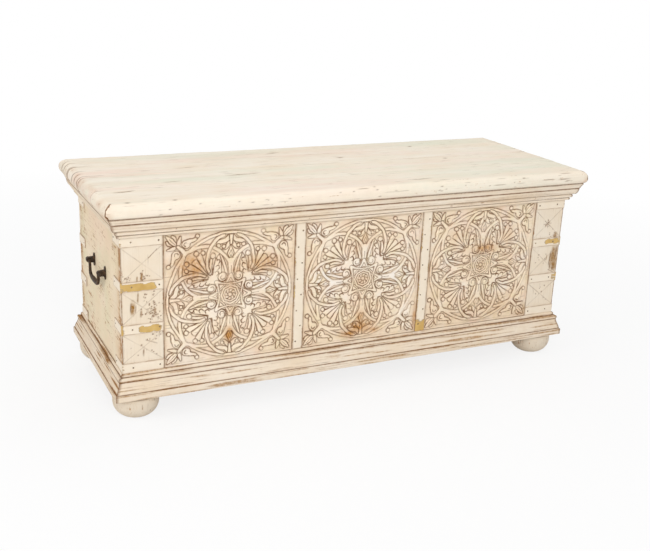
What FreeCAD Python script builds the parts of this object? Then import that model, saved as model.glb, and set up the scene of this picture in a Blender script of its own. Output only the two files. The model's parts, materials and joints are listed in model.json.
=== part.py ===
import FreeCAD, Part
import math
import os

# Carved wooden trunk: a board case on bun feet, moulded at base and rim, with a hinged plank lid,
# strip metal over its corners and board joints, and a drop handle on each end.
# Millimetres. X runs along the front, the front faces -Y, Z is up and the floor is at Z = 0.

# Front, from left to right
stile_left_width = 87.0
stile_right_width = 82.0
panel_width = 291.0
panel_strap_width = 24.0

# Case boards
body_depth = 372.0
panel_height = 291.0
wall = 22.0
bottom_thickness = 20.0
rebate_depth = 8.0
back_seam_height = 160.0
bottom_seam_front = -64.0
bottom_seam_back = 58.0

# Tongue and groove joints between boards
tongue_thickness = 7.0
tongue_depth = 8.0
tongue_play = 0.2

# Carving of the front panels, drawn round the middle of a square field and scaled to the real field
drawn_field = 291.0
carving_depth = 3.0
carving_border = 2.5
ring_radius = 136.6
circle_centre = 56.4
circle_radius = 54.2
band_width = 5.6
frame_side = 23.8
frame_corner = 32.0
frame_width = 5.0
flower_radius = 16.0
shell_heel = 44.0
shell_heel_radius = 17.0
shell_ribs = 5
shell_rib_pitch = 13.6
shell_rib_foot = 20.0
shell_rib_tip = 58.0
shell_rib_gap = 3.0
palmette_foot = (36.0, 42.0)
palmette_swell = (34.5, 66.0)
palmette_tip = (24.5, 90.0)
palmette_width = 12.0
bud_foot = 78.0
bud_tip = 106.0
bud_width = 13.2
lily_swell = (16.0, 119.0)
lily_tip = (31.5, 109.0)
lily_leaf_width = 9.0
sprig_stalk_end = 115.0
sprig_leaf_swell = 128.0
sprig_leaf_tip = 140.0
sprig_leaf_width = 22.0

# Base moulding: a band, an ogee and two beads
base_height = 56.0
base_projection = 20.5
base_band_height = 15.0
base_bead_height = 8.0
ogee_foot = 18.0
ogee_head = 10.5
base_low_bead = 12.0
base_high_bead = 5.0
bead_rise = 1.6

# Rim moulding: two beads under the lid
rim_low_height = 7.0
rim_high_height = 9.0
rim_low_bead = 9.0
rim_high_bead = 13.0
rim_bead_rise = 2.6

# Lid
lid_gap = 0.6
lid_moulding_height = 28.4
lid_moulding_foot = 17.5
lid_moulding_swell = 22.5
lid_moulding_head = 28.4
lid_swell_height = 15.0
lid_fillet_height = 4.0
slab_thickness = 30.0
slab_nose = 36.0
slab_nose_height = 12.0
slab_foot = 29.0
slab_top_edge = 22.0
lid_seam_front = -100.0
lid_seam_middle = 18.0
lid_seam_back = 122.0
batten_width = 60.0
batten_thickness = 20.0
batten_spacing = 560.0

# Bun feet
foot_height = 51.0
foot_radius = 49.0
foot_flat_radius = 22.0
foot_top_radius = 46.0
foot_widest_height = 35.0
foot_inset_x = 33.0
foot_inset_y = 30.0
tenon_radius = 14.0
tenon_length = 15.0
tenon_play = 0.05

# Strip metal
strap_thickness = 1.5
strap_width = 21.0
strap_end_leg = 55.0
strap_back_leg = 60.0
strap_second_shift = 4.0
strap_third_shift = 6.0
panel_strap_nails = 8

# Hand cut nails
nail_head = 4.4
nail_head_rise = 1.0
nail_tip = 1.2
nail_length = 14.0
nail_play = 0.05
nail_from_corner = 21.0
nail_from_end = 9.0
nail_zigzag = 5.0

# Lid hinges
hinge_spacing = 660.0
hinge_length = 70.0
hinge_leaf = 28.0
hinge_leaf_thickness = 1.6
hinge_setback = 1.0
knuckle_radius = 4.0
knuckle_count = 3
knuckle_gap = 0.3
hinge_notch_play = 0.4
hinge_pin_radius = 2.0
hinge_pin_play = 0.05
hinge_notch_end = 2.0
hinge_nail_spacing = 24.0

# End handles
handle_height = 284.0
handle_centre = -6.0
handle_span = 100.0
handle_out = 13.0
plate_width = 12.0
plate_height = 29.0
plate_thickness = 2.0
plate_clip = 4.0
plate_nail_gap = 0.6
ear_root = 7.0
eye_radius = 5.8
eye_width = 8.0
eye_gap = 0.5
bail_radius = 3.0
bail_play = 0.05
bail_drop = 30.0
bail_bend = 7.0
bail_corner = 14.0
knob_radius = 4.8
knob_neck = 2.4
grip_radius = 5.2

V = FreeCAD.Vector
UP = V(0, 0, 1)

# Levels and half sizes
body_length = stile_left_width + 3 * panel_width + 2 * panel_strap_width + stile_right_width
half_length = body_length / 2
half_depth = body_depth / 2
base_low = foot_height
floor_top = base_low + bottom_thickness
panel_low = base_low + base_height
panel_high = panel_low + panel_height
case_top = panel_high + rim_low_height + rim_high_height
lid_low = case_top + lid_gap
slab_low = lid_low + lid_moulding_height
lid_top = slab_low + slab_thickness
joint_left = -half_length + stile_left_width
joint_right = half_length - stile_right_width
strap_centre_left = joint_left + panel_width + panel_strap_width / 2
strap_centre_right = joint_right - panel_width - panel_strap_width / 2

# Each side of the body: its first corner, the way along it, the way out of it and its length
SIDES = {
    "front": (V(-half_length, -half_depth, 0), V(1, 0, 0), V(0, -1, 0), body_length),
    "back": (V(half_length, half_depth, 0), V(-1, 0, 0), V(0, 1, 0), body_length),
    "left": (V(-half_length, half_depth, 0), V(0, -1, 0), V(-1, 0, 0), body_depth),
    "right": (V(half_length, -half_depth, 0), V(0, 1, 0), V(1, 0, 0), body_depth),
}

pieces = {}


def block(x_span, y_span, z_span):
    """Box between two values on each axis, given in any order."""
    low = V(min(x_span), min(y_span), min(z_span))
    high = V(max(x_span), max(y_span), max(z_span))
    size = high - low
    return Part.makeBox(size.x, size.y, size.z, low)


def solid(shape):
    """The one solid of a boolean's result, with its split faces merged."""
    return shape.removeSplitter().Solids[0]


def outline(start, steps, place):
    """Face from a start and steps: (end) is a line and (middle, end) an arc, as out and up pairs."""
    edges = []
    here = start
    for step in steps + [(start,)]:
        end = step[-1]
        if len(step) == 2:
            edges.append(Part.Arc(place(*here), place(*step[0]), place(*end)).toShape())
        else:
            edges.append(Part.makeLine(place(*here), place(*end)))
        here = end
    return Part.Face(Part.Wire(edges))


def moulding(side, start, steps):
    """Length of moulding along one side, mitred at both ends."""
    corner, along, outward, length = SIDES[side]
    inner = start[0]
    reach = max(point[0] for step in steps for point in step)

    def place(out, up):
        return corner - along * reach + outward * out + UP * up

    def plan(out, end):
        run = -out if end == 0 else length + out
        return corner + along * run + outward * out

    run = outline(start, steps, place).extrude(along * (length + 2 * reach))
    corners = [plan(inner, 0), plan(reach, 0), plan(reach, 1), plan(inner, 1), plan(inner, 0)]
    mitre = Part.Face(Part.makePolygon(corners)).extrude(UP * (lid_top + slab_thickness))
    return solid(run.common(mitre))


def base_profile():
    """Band, ogee and two beads, from the bottom up."""
    band_top = base_low + base_band_height
    bead_two = panel_low - base_bead_height
    bead_one = bead_two - base_bead_height
    middle = (band_top + bead_one) / 2
    waist = (ogee_foot + ogee_head) / 2
    quarter = (bead_one - band_top) / 4
    bow = (ogee_foot - ogee_head) / 12
    steps = [
        ((base_projection, base_low),),
        ((base_projection, band_top),),
        ((ogee_foot, band_top),),
        (((ogee_foot + waist) / 2 + bow, middle - quarter), (waist, middle)),
        (((ogee_head + waist) / 2 - bow, middle + quarter), (ogee_head, bead_one)),
        ((base_low_bead, (bead_one + bead_two) / 2), (base_low_bead - bead_rise, bead_two)),
        ((base_high_bead - bead_rise, bead_two),),
        ((base_high_bead, (bead_two + panel_low) / 2), (base_high_bead - bead_rise, panel_low)),
        ((0, panel_low),),
    ]
    return (0, base_low), steps


def rim_profile():
    """Two beads that step out under the lid."""
    step = panel_high + rim_low_height
    steps = [
        ((rim_low_bead - rim_bead_rise, panel_high),),
        ((rim_low_bead, (panel_high + step) / 2), (rim_low_bead - rim_bead_rise, step)),
        ((rim_high_bead - rim_bead_rise, step),),
        ((rim_high_bead, (step + case_top) / 2), (rim_high_bead - rim_bead_rise, case_top)),
        ((0, case_top),),
    ]
    return (0, panel_high), steps


def lid_profile():
    """Swelling fascia, cove and fillet under the slab."""
    swell_top = lid_low + lid_swell_height
    fillet_low = slab_low - lid_fillet_height
    fascia = ((lid_moulding_foot + lid_moulding_swell) / 2 + bead_rise, (lid_low + swell_top) / 2)
    cove_foot = lid_moulding_swell + bead_rise / 2
    cove = ((cove_foot + lid_moulding_head) / 2 - bead_rise / 2, (swell_top + fillet_low) / 2)
    steps = [
        ((lid_moulding_foot, lid_low),),
        (fascia, (lid_moulding_swell, swell_top)),
        ((cove_foot, swell_top),),
        (cove, (lid_moulding_head - bead_rise / 2, fillet_low)),
        ((lid_moulding_head, fillet_low),),
        ((lid_moulding_head, slab_low),),
        ((-wall, slab_low),),
    ]
    return (-wall, lid_low), steps


def slab_run(half, place, along):
    """Lid slab in one direction, with its rounded nose on both edges."""
    nose = slab_low + slab_nose_height
    low_out = slab_foot + 0.8 * (slab_nose - slab_foot)
    low_up = slab_low + 0.4 * slab_nose_height
    high_out = slab_top_edge + 0.76 * (slab_nose - slab_top_edge)
    high_up = nose + 0.64 * (lid_top - nose)
    steps = [
        ((half + low_out, low_up), (half + slab_nose, nose)),
        ((half + high_out, high_up), (half + slab_top_edge, lid_top)),
        ((-half - slab_top_edge, lid_top),),
        ((-half - high_out, high_up), (-half - slab_nose, nose)),
        ((-half - low_out, low_up), (-half - slab_foot, slab_low)),
    ]
    return outline((half + slab_foot, slab_low), steps, place).extrude(along)


def boards(blank, axis, seams, thickness_axis):
    """Blank cut at seams across one axis, each board with a tongue in the next board's groove."""
    room = blank.BoundBox
    low = [room.XMin, room.YMin, room.ZMin]
    high = [room.XMax, room.YMax, room.ZMax]
    middle = (low[thickness_axis] + high[thickness_axis]) / 2

    def cell(start, end, tongue):
        spans = [[low[i], high[i]] for i in range(3)]
        spans[axis] = [start, end]
        if tongue:
            spans[thickness_axis] = [middle - tongue_thickness / 2, middle + tongue_thickness / 2]
        return block(*spans)

    made = []
    ends = [low[axis]] + list(seams) + [high[axis]]
    for start, end in zip(ends, ends[1:]):
        board = cell(start, end, False)
        if end != ends[-1]:
            board = board.fuse(cell(end, end + tongue_depth, True))
        if start != ends[0]:
            board = board.cut(cell(start, start + tongue_depth + tongue_play, True))
        made.append(solid(blank.common(board)))
    return made


def case_boards():
    """Front, end, back and bottom boards, plain on their faces."""
    span_x = (-half_length, half_length)
    span_y = (-half_depth, half_depth)
    front = block(span_x, (-half_depth, -half_depth + wall), (floor_top, case_top))
    back = block(span_x, (half_depth - wall, half_depth), (floor_top, case_top))
    end_y = half_depth - wall + rebate_depth
    for name, sign in (("left", -1), ("right", 1)):
        end = block((sign * half_length, sign * (half_length - wall)), (-end_y, end_y), (floor_top, case_top))
        front = front.cut(end)
        back = back.cut(end)
        pieces["end_board_" + name] = end
    seams = (joint_left, strap_centre_left, strap_centre_right, joint_right)
    names = ("front_stile_left", "carved_panel_left", "carved_panel_centre", "carved_panel_right",
             "front_stile_right")
    pieces.update(zip(names, boards(front, 0, seams, 1)))
    names = ("back_board_lower", "back_board_upper")
    pieces.update(zip(names, boards(back, 2, [floor_top + back_seam_height], 1)))
    bottom = block(span_x, span_y, (base_low, floor_top))
    names = ("bottom_plank_front", "bottom_plank_middle", "bottom_plank_back")
    pieces.update(zip(names, boards(bottom, 1, (bottom_seam_front, bottom_seam_back), 2)))


def carved_forms():
    """Raised forms of one carved field, standing through its sunk ground, round the field's middle."""
    scale = min(panel_width, panel_height) / drawn_field
    through = 3 * carving_depth

    def place(across, up):
        return V(across * scale, -carving_depth, up * scale)

    def raised(start, steps):
        return outline(start, steps, place).extrude(V(0, through, 0))

    def disc(across, up, radius):
        return Part.makeCylinder(radius * scale, through, place(across, up), V(0, 1, 0))

    def band(across, up, radius):
        return disc(across, up, radius + band_width / 2).cut(disc(across, up, radius - band_width / 2))

    def bar(start, end, width):
        """Straight bar between two points."""
        way = V(end[0] - start[0], 0, end[1] - start[1]).normalize()

        def corner(point, share):
            return point[0] - way.z * width * share, point[1] + way.x * width * share

        return raised(corner(start, 0.5), [(corner(end, 0.5),), (corner(end, -0.5),), (corner(start, -0.5),)])

    def leaf(foot, swell, tip, width):
        """Leaf from a blunt foot to a point, its two edges bent through its swell."""
        way = V(tip[0] - foot[0], 0, tip[1] - foot[1]).normalize()

        def edge(point, share):
            return point[0] - way.z * width * share, point[1] + way.x * width * share

        steps = [(edge(swell, 0.5), tip), (edge(swell, -0.5), edge(foot, -0.25))]
        return raised(edge(foot, 0.25), steps)

    def shell():
        """Shell whose ribs fan out from its heel on the diagonal, with a cut between each two."""
        def at(radius, turn):
            angle = math.radians(45 + turn)
            return shell_heel + radius * math.cos(angle), shell_heel + radius * math.sin(angle)

        cut = math.degrees(shell_rib_gap / shell_rib_tip)
        first = -shell_ribs * shell_rib_pitch / 2
        steps = []
        for number in range(shell_ribs):
            low = first + number * shell_rib_pitch
            high = low + shell_rib_pitch
            steps += [(at(shell_rib_tip, low + cut / 2),), (at(shell_rib_tip, high - cut / 2),)]
            if number < shell_ribs - 1:
                steps.append((at(shell_rib_foot, high),))
        steps += [(at(shell_heel_radius, 135),), (at(shell_heel_radius, 180),)]
        return raised(at(shell_heel_radius, -135), steps)

    # Forms on an axis or a diagonal come four times, the rest eight times
    bud_middle = (bud_foot + bud_tip) / 2
    bud = [((bud_width / 2, bud_middle),), ((0, bud_tip),), ((-bud_width / 2, bud_middle),)]
    frame_edge = frame_side + frame_width
    frame_end = frame_corner + frame_width
    frame = [((0, frame_side), (frame_corner, frame_corner)), ((frame_end, frame_end),),
             ((0, frame_edge), (-frame_end, frame_end))]
    on_ring = ring_radius * math.sqrt(0.5)
    sprig_stalk = (sprig_stalk_end, sprig_stalk_end)
    by_four = [
        band(circle_centre, circle_centre, circle_radius),
        shell(),
        raised((-frame_corner, frame_corner), frame),
        raised((0, bud_foot), bud),
        bar((on_ring, on_ring), sprig_stalk, band_width),
        leaf(sprig_stalk, (sprig_leaf_swell, sprig_leaf_swell), (sprig_leaf_tip, sprig_leaf_tip), sprig_leaf_width),
    ]
    by_eight = [
        leaf(palmette_foot, palmette_swell, palmette_tip, palmette_width),
        leaf((0, ring_radius - band_width / 2), lily_swell, lily_tip, lily_leaf_width),
    ]
    angles = [math.radians(22.5 + 45 * number) for number in range(8)]
    flower = [((flower_radius * math.cos(angle), flower_radius * math.sin(angle)),) for angle in angles]
    forms = [band(0, 0, ring_radius), raised(flower[0][0], flower[1:])]
    for form in by_four + by_eight + [form.mirror(V(0, 0, 0), V(1, 0, 0)) for form in by_eight]:
        for quarter in range(4):
            turned = form.copy()
            turned.rotate(V(0, 0, 0), V(0, 1, 0), 90 * quarter)
            forms.append(turned)
    return forms


def carving():
    """Sunk ground of the three carved panels, cut round the raised forms."""
    half_width = panel_width / 2 - carving_border
    half_height = panel_height / 2 - carving_border
    field = block((-half_width, half_width), (0, carving_depth), (-half_height, half_height))
    ground = field.cut(carved_forms())
    middle_z = (panel_low + panel_high) / 2
    for number, name in enumerate(("left", "centre", "right")):
        middle_x = joint_left + panel_width / 2 + number * (panel_width + panel_strap_width)
        sunk = ground.copy()
        sunk.translate(V(middle_x, -half_depth, middle_z))
        pieces["carved_panel_" + name] = solid(pieces["carved_panel_" + name].cut(sunk))


def mouldings():
    """Base, rim and lid mouldings round all four sides."""
    for name, profile in (("base", base_profile()), ("rim", rim_profile()), ("lid", lid_profile())):
        for side in SIDES:
            pieces[name + "_moulding_" + side] = moulding(side, *profile)


def lid_boards():
    """Lid planks with the rounded nose all round, and the battens that tie them."""
    far_x = half_length + slab_nose
    far_y = half_depth + slab_nose
    across = slab_run(half_depth, lambda out, up: V(-far_x, out, up), V(2 * far_x, 0, 0))
    along = slab_run(half_length, lambda out, up: V(out, -far_y, up), V(0, 2 * far_y, 0))
    slab = across.common(along)
    seams = (lid_seam_front, lid_seam_middle, lid_seam_back)
    for number, plank in enumerate(boards(slab, 1, seams, 2), 1):
        pieces["lid_plank_%d" % number] = plank
    inner_y = half_depth - wall
    for name, sign in (("left", -1), ("right", 1)):
        centre = sign * batten_spacing / 2
        span = (centre - batten_width / 2, centre + batten_width / 2)
        pieces["lid_batten_" + name] = block(span, (-inner_y, inner_y), (slab_low - batten_thickness, slab_low))


def bun_feet():
    """Turned feet whose tenons go up into the bottom planks."""
    swell = foot_radius - foot_flat_radius
    low_arc = (foot_flat_radius + 0.714 * swell, 0.3 * foot_widest_height)
    steps = [
        ((foot_flat_radius, 0),),
        (low_arc, (foot_radius, foot_widest_height)),
        ((foot_top_radius, foot_height),),
        ((tenon_radius, foot_height),),
        ((tenon_radius, foot_height + tenon_length),),
        ((0, foot_height + tenon_length),),
    ]
    turned = outline((0, 0), steps, lambda out, up: V(out, 0, up)).revolve(V(0, 0, 0), UP, 360)
    for row, sign_y in (("front", -1), ("back", 1)):
        for end, sign_x in (("left", -1), ("right", 1)):
            place = V(sign_x * (half_length - foot_inset_x), sign_y * (half_depth - foot_inset_y), 0)
            foot = turned.copy()
            foot.translate(place)
            pieces["bun_foot_%s_%s" % (row, end)] = foot
            socket = Part.makeCylinder(tenon_radius + tenon_play, tenon_length + tenon_play, place + UP * base_low)
            plank = "bottom_plank_" + row
            pieces[plank] = pieces[plank].cut(socket)


def nail(point, outward, head_rise, grow=0.0):
    """Cut nail that tapers all the way from its square head to its tip."""
    half_tip = nail_tip / 2 + grow
    half_head = nail_head / 2 + grow
    low = head_rise - nail_length - grow
    made = Part.makeWedge(-half_tip, low, -half_tip, -half_head, -half_head,
                          half_tip, head_rise, half_tip, half_head, half_head)
    made.Placement = FreeCAD.Placement(point, FreeCAD.Rotation(V(0, 1, 0), outward))
    return made


def drive(name, points, through, head_rise):
    """Nails at points, each with its way out, and their pockets in the pieces they pass through."""
    pieces[name] = Part.makeCompound([nail(point, outward, head_rise) for point, outward in points])
    pockets = Part.makeCompound([nail(point, outward, head_rise, nail_play) for point, outward in points])
    for piece in through:
        pieces[piece] = pieces[piece].cut(pockets)


def strap_tops():
    """Top edge of each corner strap, from the rim down to the base."""
    pitch = (panel_height - strap_width) / 3
    drops = (0, pitch + strap_second_shift, 2 * pitch + strap_third_shift, 3 * pitch)
    return [panel_high - drop for drop in drops]


def straps():
    """Strip metal round the four corners and over the joints between the carved panels."""
    points = []
    legs = {("front", "left"): stile_left_width, ("front", "right"): stile_right_width,
            ("back", "left"): strap_back_leg, ("back", "right"): strap_back_leg}
    for (face, end), face_leg in legs.items():
        sign_x = -1 if end == "left" else 1
        sign_y = -1 if face == "front" else 1
        out_x = sign_x * (half_length + strap_thickness)
        out_y = sign_y * (half_depth + strap_thickness)
        group = []
        for top in strap_tops():
            span_z = (top - strap_width, top)
            on_face = block((out_x, sign_x * (half_length - face_leg)), (out_y, sign_y * half_depth), span_z)
            on_end = block((out_x, sign_x * half_length), (out_y, sign_y * (half_depth - strap_end_leg)), span_z)
            group.append(solid(on_face.fuse(on_end)))
            middle = top - strap_width / 2
            for inset in (nail_from_corner, face_leg - nail_from_end):
                points.append((V(sign_x * (half_length - inset), out_y, middle), V(0, sign_y, 0)))
            inset = strap_end_leg - nail_from_end
            points.append((V(out_x, sign_y * (half_depth - inset), middle), V(sign_x, 0, 0)))
        pieces["corner_straps_%s_%s" % (face, end)] = Part.makeCompound(group)
    out_y = -half_depth - strap_thickness
    for name, centre in (("left", strap_centre_left), ("right", strap_centre_right)):
        span_x = (centre - panel_strap_width / 2, centre + panel_strap_width / 2)
        pieces["panel_strap_" + name] = block(span_x, (out_y, -half_depth), (panel_low, panel_high))
        pitch = panel_height / panel_strap_nails
        for number in range(panel_strap_nails):
            side = nail_zigzag if number % 2 else -nail_zigzag
            points.append((V(centre + side, out_y, panel_low + (number + 0.5) * pitch), V(0, -1, 0)))
    names = ("corner_straps", "panel_strap", "front_stile", "carved_panel", "back_board", "end_board")
    drive("strap_nails", points, [piece for piece in pieces if piece.startswith(names)], nail_head_rise)


def lid_hinges():
    """Two butt hinges let into the rim and the lid at the back, with their pins and nails."""
    axis_y = half_depth + rim_high_bead + hinge_setback
    axis_z = (case_top + lid_low) / 2
    inner_y = axis_y - hinge_leaf
    notch_y = axis_y - knuckle_radius - hinge_notch_play
    notch_far = half_depth + slab_nose
    notch_low = axis_z - knuckle_radius - hinge_notch_play
    notch_high = axis_z + knuckle_radius + hinge_notch_play
    nail_y = half_depth - wall / 2
    pitch = hinge_length / knuckle_count
    along = V(1, 0, 0)
    leaves = (("case", (case_top - hinge_leaf_thickness, case_top), 0),
              ("lid", (lid_low, lid_low + hinge_leaf_thickness), 1))
    points = {"case": [], "lid": []}
    for side, centre in (("left", -hinge_spacing / 2), ("right", hinge_spacing / 2)):
        start = centre - hinge_length / 2
        notch_x = (start - hinge_notch_end, start + hinge_length + hinge_notch_end)
        notch = block(notch_x, (notch_y, notch_far), (notch_low, notch_high))
        pieces["rim_moulding_back"] = pieces["rim_moulding_back"].cut(notch)
        pieces["lid_moulding_back"] = pieces["lid_moulding_back"].cut(notch)
        bore = Part.makeCylinder(hinge_pin_radius + hinge_pin_play, hinge_length, V(start, axis_y, axis_z), along)
        for owner, span_z, first in leaves:
            plate = block((start, start + hinge_length), (inner_y, axis_y), span_z)
            woods = ("rim_moulding_back", "back_board_upper") if owner == "case" else ("lid_moulding_back",)
            for wood in woods:
                pieces[wood] = pieces[wood].cut(plate)
            leaf = plate
            for number in range(knuckle_count):
                low = start + number * pitch
                if number % 2 == first:
                    barrel = V(low + knuckle_gap / 2, axis_y, axis_z)
                    leaf = leaf.fuse(Part.makeCylinder(knuckle_radius, pitch - knuckle_gap, barrel, along))
                else:
                    gap = (low - knuckle_gap / 2, low + pitch + knuckle_gap / 2)
                    leaf = leaf.cut(block(gap, (notch_y, axis_y), span_z))
            pieces["hinge_%s_%s_leaf" % (side, owner)] = solid(leaf.cut(bore))
            face, way = (case_top, UP) if owner == "case" else (lid_low, -UP)
            for offset in (-hinge_nail_spacing, 0, hinge_nail_spacing):
                points[owner].append((V(centre + offset, nail_y, face), way))
        pin_start = V(start, axis_y, axis_z)
        pieces["hinge_%s_pin" % side] = Part.makeCylinder(hinge_pin_radius, hinge_length, pin_start, along)
    for owner, wood in (("case", "back_board_upper"), ("lid", "lid_moulding_back")):
        through = [wood, "hinge_left_%s_leaf" % owner, "hinge_right_%s_leaf" % owner]
        drive(owner + "_hinge_nails", points[owner], through, 0)


def handle_plate(wall_x, out, centre_y):
    """Back plate with an ear that tapers to an eye for the bail."""
    half_width = plate_width / 2
    half_height = plate_height / 2
    low_y = centre_y - eye_width / 2
    steps = [((half_width, half_height - plate_clip),),
             ((half_width - plate_clip, half_height),),
             ((plate_clip - half_width, half_height),),
             ((-half_width, half_height - plate_clip),),
             ((-half_width, plate_clip - half_height),),
             ((plate_clip - half_width, -half_height),),
             ((half_width - plate_clip, -half_height),)]
    sheet = outline((half_width, plate_clip - half_height), steps,
                    lambda along, up: V(wall_x, centre_y + along, handle_height + up))
    plate = sheet.extrude(V(out * plate_thickness, 0, 0))
    steps = [((handle_out, -eye_radius),),
             ((handle_out + eye_radius, 0), (handle_out, eye_radius)),
             ((0, ear_root),)]
    ear = outline((0, -ear_root), steps, lambda far, up: V(wall_x + out * far, low_y, handle_height + up))
    eye = V(wall_x + out * handle_out, low_y, handle_height)
    bore = Part.makeCylinder(bail_radius + bail_play, eye_width, eye, V(0, 1, 0))
    return solid(plate.fuse(ear.extrude(V(0, eye_width, 0))).cut(bore))


def handle_bail(pivot):
    """Drop handle: knobbed pins, two bent six sided arms and a turned grip, hanging from its pivots."""
    half = handle_span / 2
    knob = half + eye_width / 2 + eye_gap
    bend = half - eye_width / 2 - eye_gap
    arm = bend - bail_bend
    grip = arm - bail_corner
    turn = 0.5 ** 0.5

    def at(along, up):
        return pivot + V(0, along, up)

    def arm_pipe(side):
        bend_mid = at(side * (bend - bail_bend * turn), -bail_bend * (1 - turn))
        corner_mid = at(side * (grip + bail_corner * turn), -bail_drop + bail_corner * (1 - turn))
        path = Part.Wire([
            Part.Arc(at(side * bend, 0), bend_mid, at(side * arm, -bail_bend)).toShape(),
            Part.makeLine(at(side * arm, -bail_bend), at(side * arm, -bail_drop + bail_corner)),
            Part.Arc(at(side * arm, -bail_drop + bail_corner), corner_mid, at(side * grip, -bail_drop)).toShape(),
        ])
        corners = []
        for number in range(7):
            angle = math.radians(60 * number)
            corners.append(at(side * bend, bail_radius * math.sin(angle)) + V(bail_radius * math.cos(angle), 0, 0))
        return path.makePipe(Part.Face(Part.makePolygon(corners)))

    def turned(start, steps, height):
        section = outline(start, steps, lambda along, up: at(along, up + height))
        return section.revolve(at(0, height), V(0, 1, 0), 360)

    steps = [((-grip, bail_radius),), ((0, grip_radius), (grip, bail_radius)), ((grip, 0),)]
    bail = turned((-grip, 0), steps, -bail_drop)
    for side in (-1, 1):
        steps = [((side * bend, bail_radius),),
                 ((side * knob, bail_radius),),
                 ((side * (knob + knob_neck), knob_radius),),
                 ((side * (knob + 2 * knob_neck), knob_radius),),
                 ((side * (knob + 3 * knob_neck), bail_radius),),
                 ((side * (knob + 3 * knob_neck), 0),)]
        bail = bail.fuse(arm_pipe(side)).fuse(turned((side * bend, 0), steps, 0))
    return solid(bail)


def handles():
    """A pair of plates, a bail and nails on each end of the case."""
    nail_rise = ear_root + plate_nail_gap + nail_head / 2
    points = []
    for name, out in (("left", -1), ("right", 1)):
        wall_x = out * half_length
        face_x = wall_x + out * plate_thickness
        for row, sign in (("front", -1), ("rear", 1)):
            centre_y = handle_centre + sign * handle_span / 2
            pieces["handle_%s_%s_plate" % (name, row)] = handle_plate(wall_x, out, centre_y)
            for rise in (-nail_rise, nail_rise):
                points.append((V(face_x, centre_y, handle_height + rise), V(out, 0, 0)))
        pieces["handle_%s_bail" % name] = handle_bail(V(wall_x + out * handle_out, handle_centre, handle_height))
    names = ("handle_left_front_plate", "handle_left_rear_plate", "handle_right_front_plate",
             "handle_right_rear_plate", "end_board_left", "end_board_right")
    drive("handle_nails", points, names, nail_head_rise)


case_boards()
carving()
mouldings()
lid_boards()
bun_feet()
straps()
lid_hinges()
handles()

os.makedirs("parts", exist_ok=True)
for node, shape in pieces.items():
    shape.exportStep("parts/%s.step" % node)
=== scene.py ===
import json
import math

import bpy
import numpy as np
from mathutils import Matrix, Vector

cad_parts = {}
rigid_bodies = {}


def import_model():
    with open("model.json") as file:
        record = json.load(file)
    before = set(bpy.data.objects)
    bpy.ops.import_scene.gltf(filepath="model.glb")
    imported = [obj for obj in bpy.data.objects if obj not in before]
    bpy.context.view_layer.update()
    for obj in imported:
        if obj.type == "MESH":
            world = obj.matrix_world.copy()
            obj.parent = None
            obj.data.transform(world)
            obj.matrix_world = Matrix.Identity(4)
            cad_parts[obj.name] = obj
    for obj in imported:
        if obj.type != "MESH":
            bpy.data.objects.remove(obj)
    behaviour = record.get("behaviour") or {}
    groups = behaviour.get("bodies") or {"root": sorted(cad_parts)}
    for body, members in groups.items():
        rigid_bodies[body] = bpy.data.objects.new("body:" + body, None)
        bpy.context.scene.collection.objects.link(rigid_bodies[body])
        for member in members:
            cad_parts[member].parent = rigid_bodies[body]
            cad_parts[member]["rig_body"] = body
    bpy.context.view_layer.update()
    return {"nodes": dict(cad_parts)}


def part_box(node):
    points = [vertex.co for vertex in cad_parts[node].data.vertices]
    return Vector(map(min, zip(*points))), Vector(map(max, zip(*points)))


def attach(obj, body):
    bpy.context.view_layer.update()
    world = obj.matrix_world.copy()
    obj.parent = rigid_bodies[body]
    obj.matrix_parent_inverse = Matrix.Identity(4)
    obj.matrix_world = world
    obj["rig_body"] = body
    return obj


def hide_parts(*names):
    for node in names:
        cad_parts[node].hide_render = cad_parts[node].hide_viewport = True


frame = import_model()
nodes = frame["nodes"]

# Carved wooden trunk, limewashed and worn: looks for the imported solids.
# Lengths are millimetres until a mesh is laid, then metres.
MM = 0.001


def span_of(node):
    """Lowest and highest corner of a solid, in millimetres."""
    low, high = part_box(node)
    return np.array(low) / MM, np.array(high) / MM


# Sizes read from the solids
half_length = -span_of("end_board_left")[0][0]
half_depth = -span_of("front_stile_left")[0][1]
wall = span_of("end_board_left")[1][0] + half_length
rebate_y = span_of("end_board_left")[1][1]
floor_top = span_of("end_board_left")[0][2]
base_low, panel_low = [corner[2] for corner in span_of("base_moulding_front")]
panel_high, case_top = [corner[2] for corner in span_of("rim_moulding_front")]
lid_low, slab_low = [corner[2] for corner in span_of("lid_moulding_front")]
lid_top = span_of("lid_plank_1")[1][2]
foot_height = base_low

# Sizes shared with the solids that their boxes don't give
tongue_depth = 8.0
strap_thickness = 1.5
strap_width = 21.0
strap_end_leg = 55.0
strap_back_leg = 60.0
strap_drops = (0.0, 94.0, 186.0, 270.0)
panel_strap_width = 24.0
panel_strap_nails = 8
nail_from_corner = 21.0
nail_from_end = 9.0
nail_zigzag = 5.0
handle_height = 284.0
handle_centre = -6.0
handle_span = 100.0
handle_out = 13.0
handle_plate = 2.0
handle_nail_rise = 9.8
hinge_axis_out = 14.0
hinge_spacing = 660.0
hinge_notch_half = 37.0
hinge_notch_play = 4.4
hinge_leaf = 28.0
hinge_leaf_half = 35.1
hinge_leaf_thickness = 1.7

# Outlines of the mouldings and of the lid's nose
base_band = 15.0
base_bead = 8.0
rim_bead = 7.0
lid_swell = 15.0
lid_overhang = 36.0
lid_nose_rise = 12.0

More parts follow.
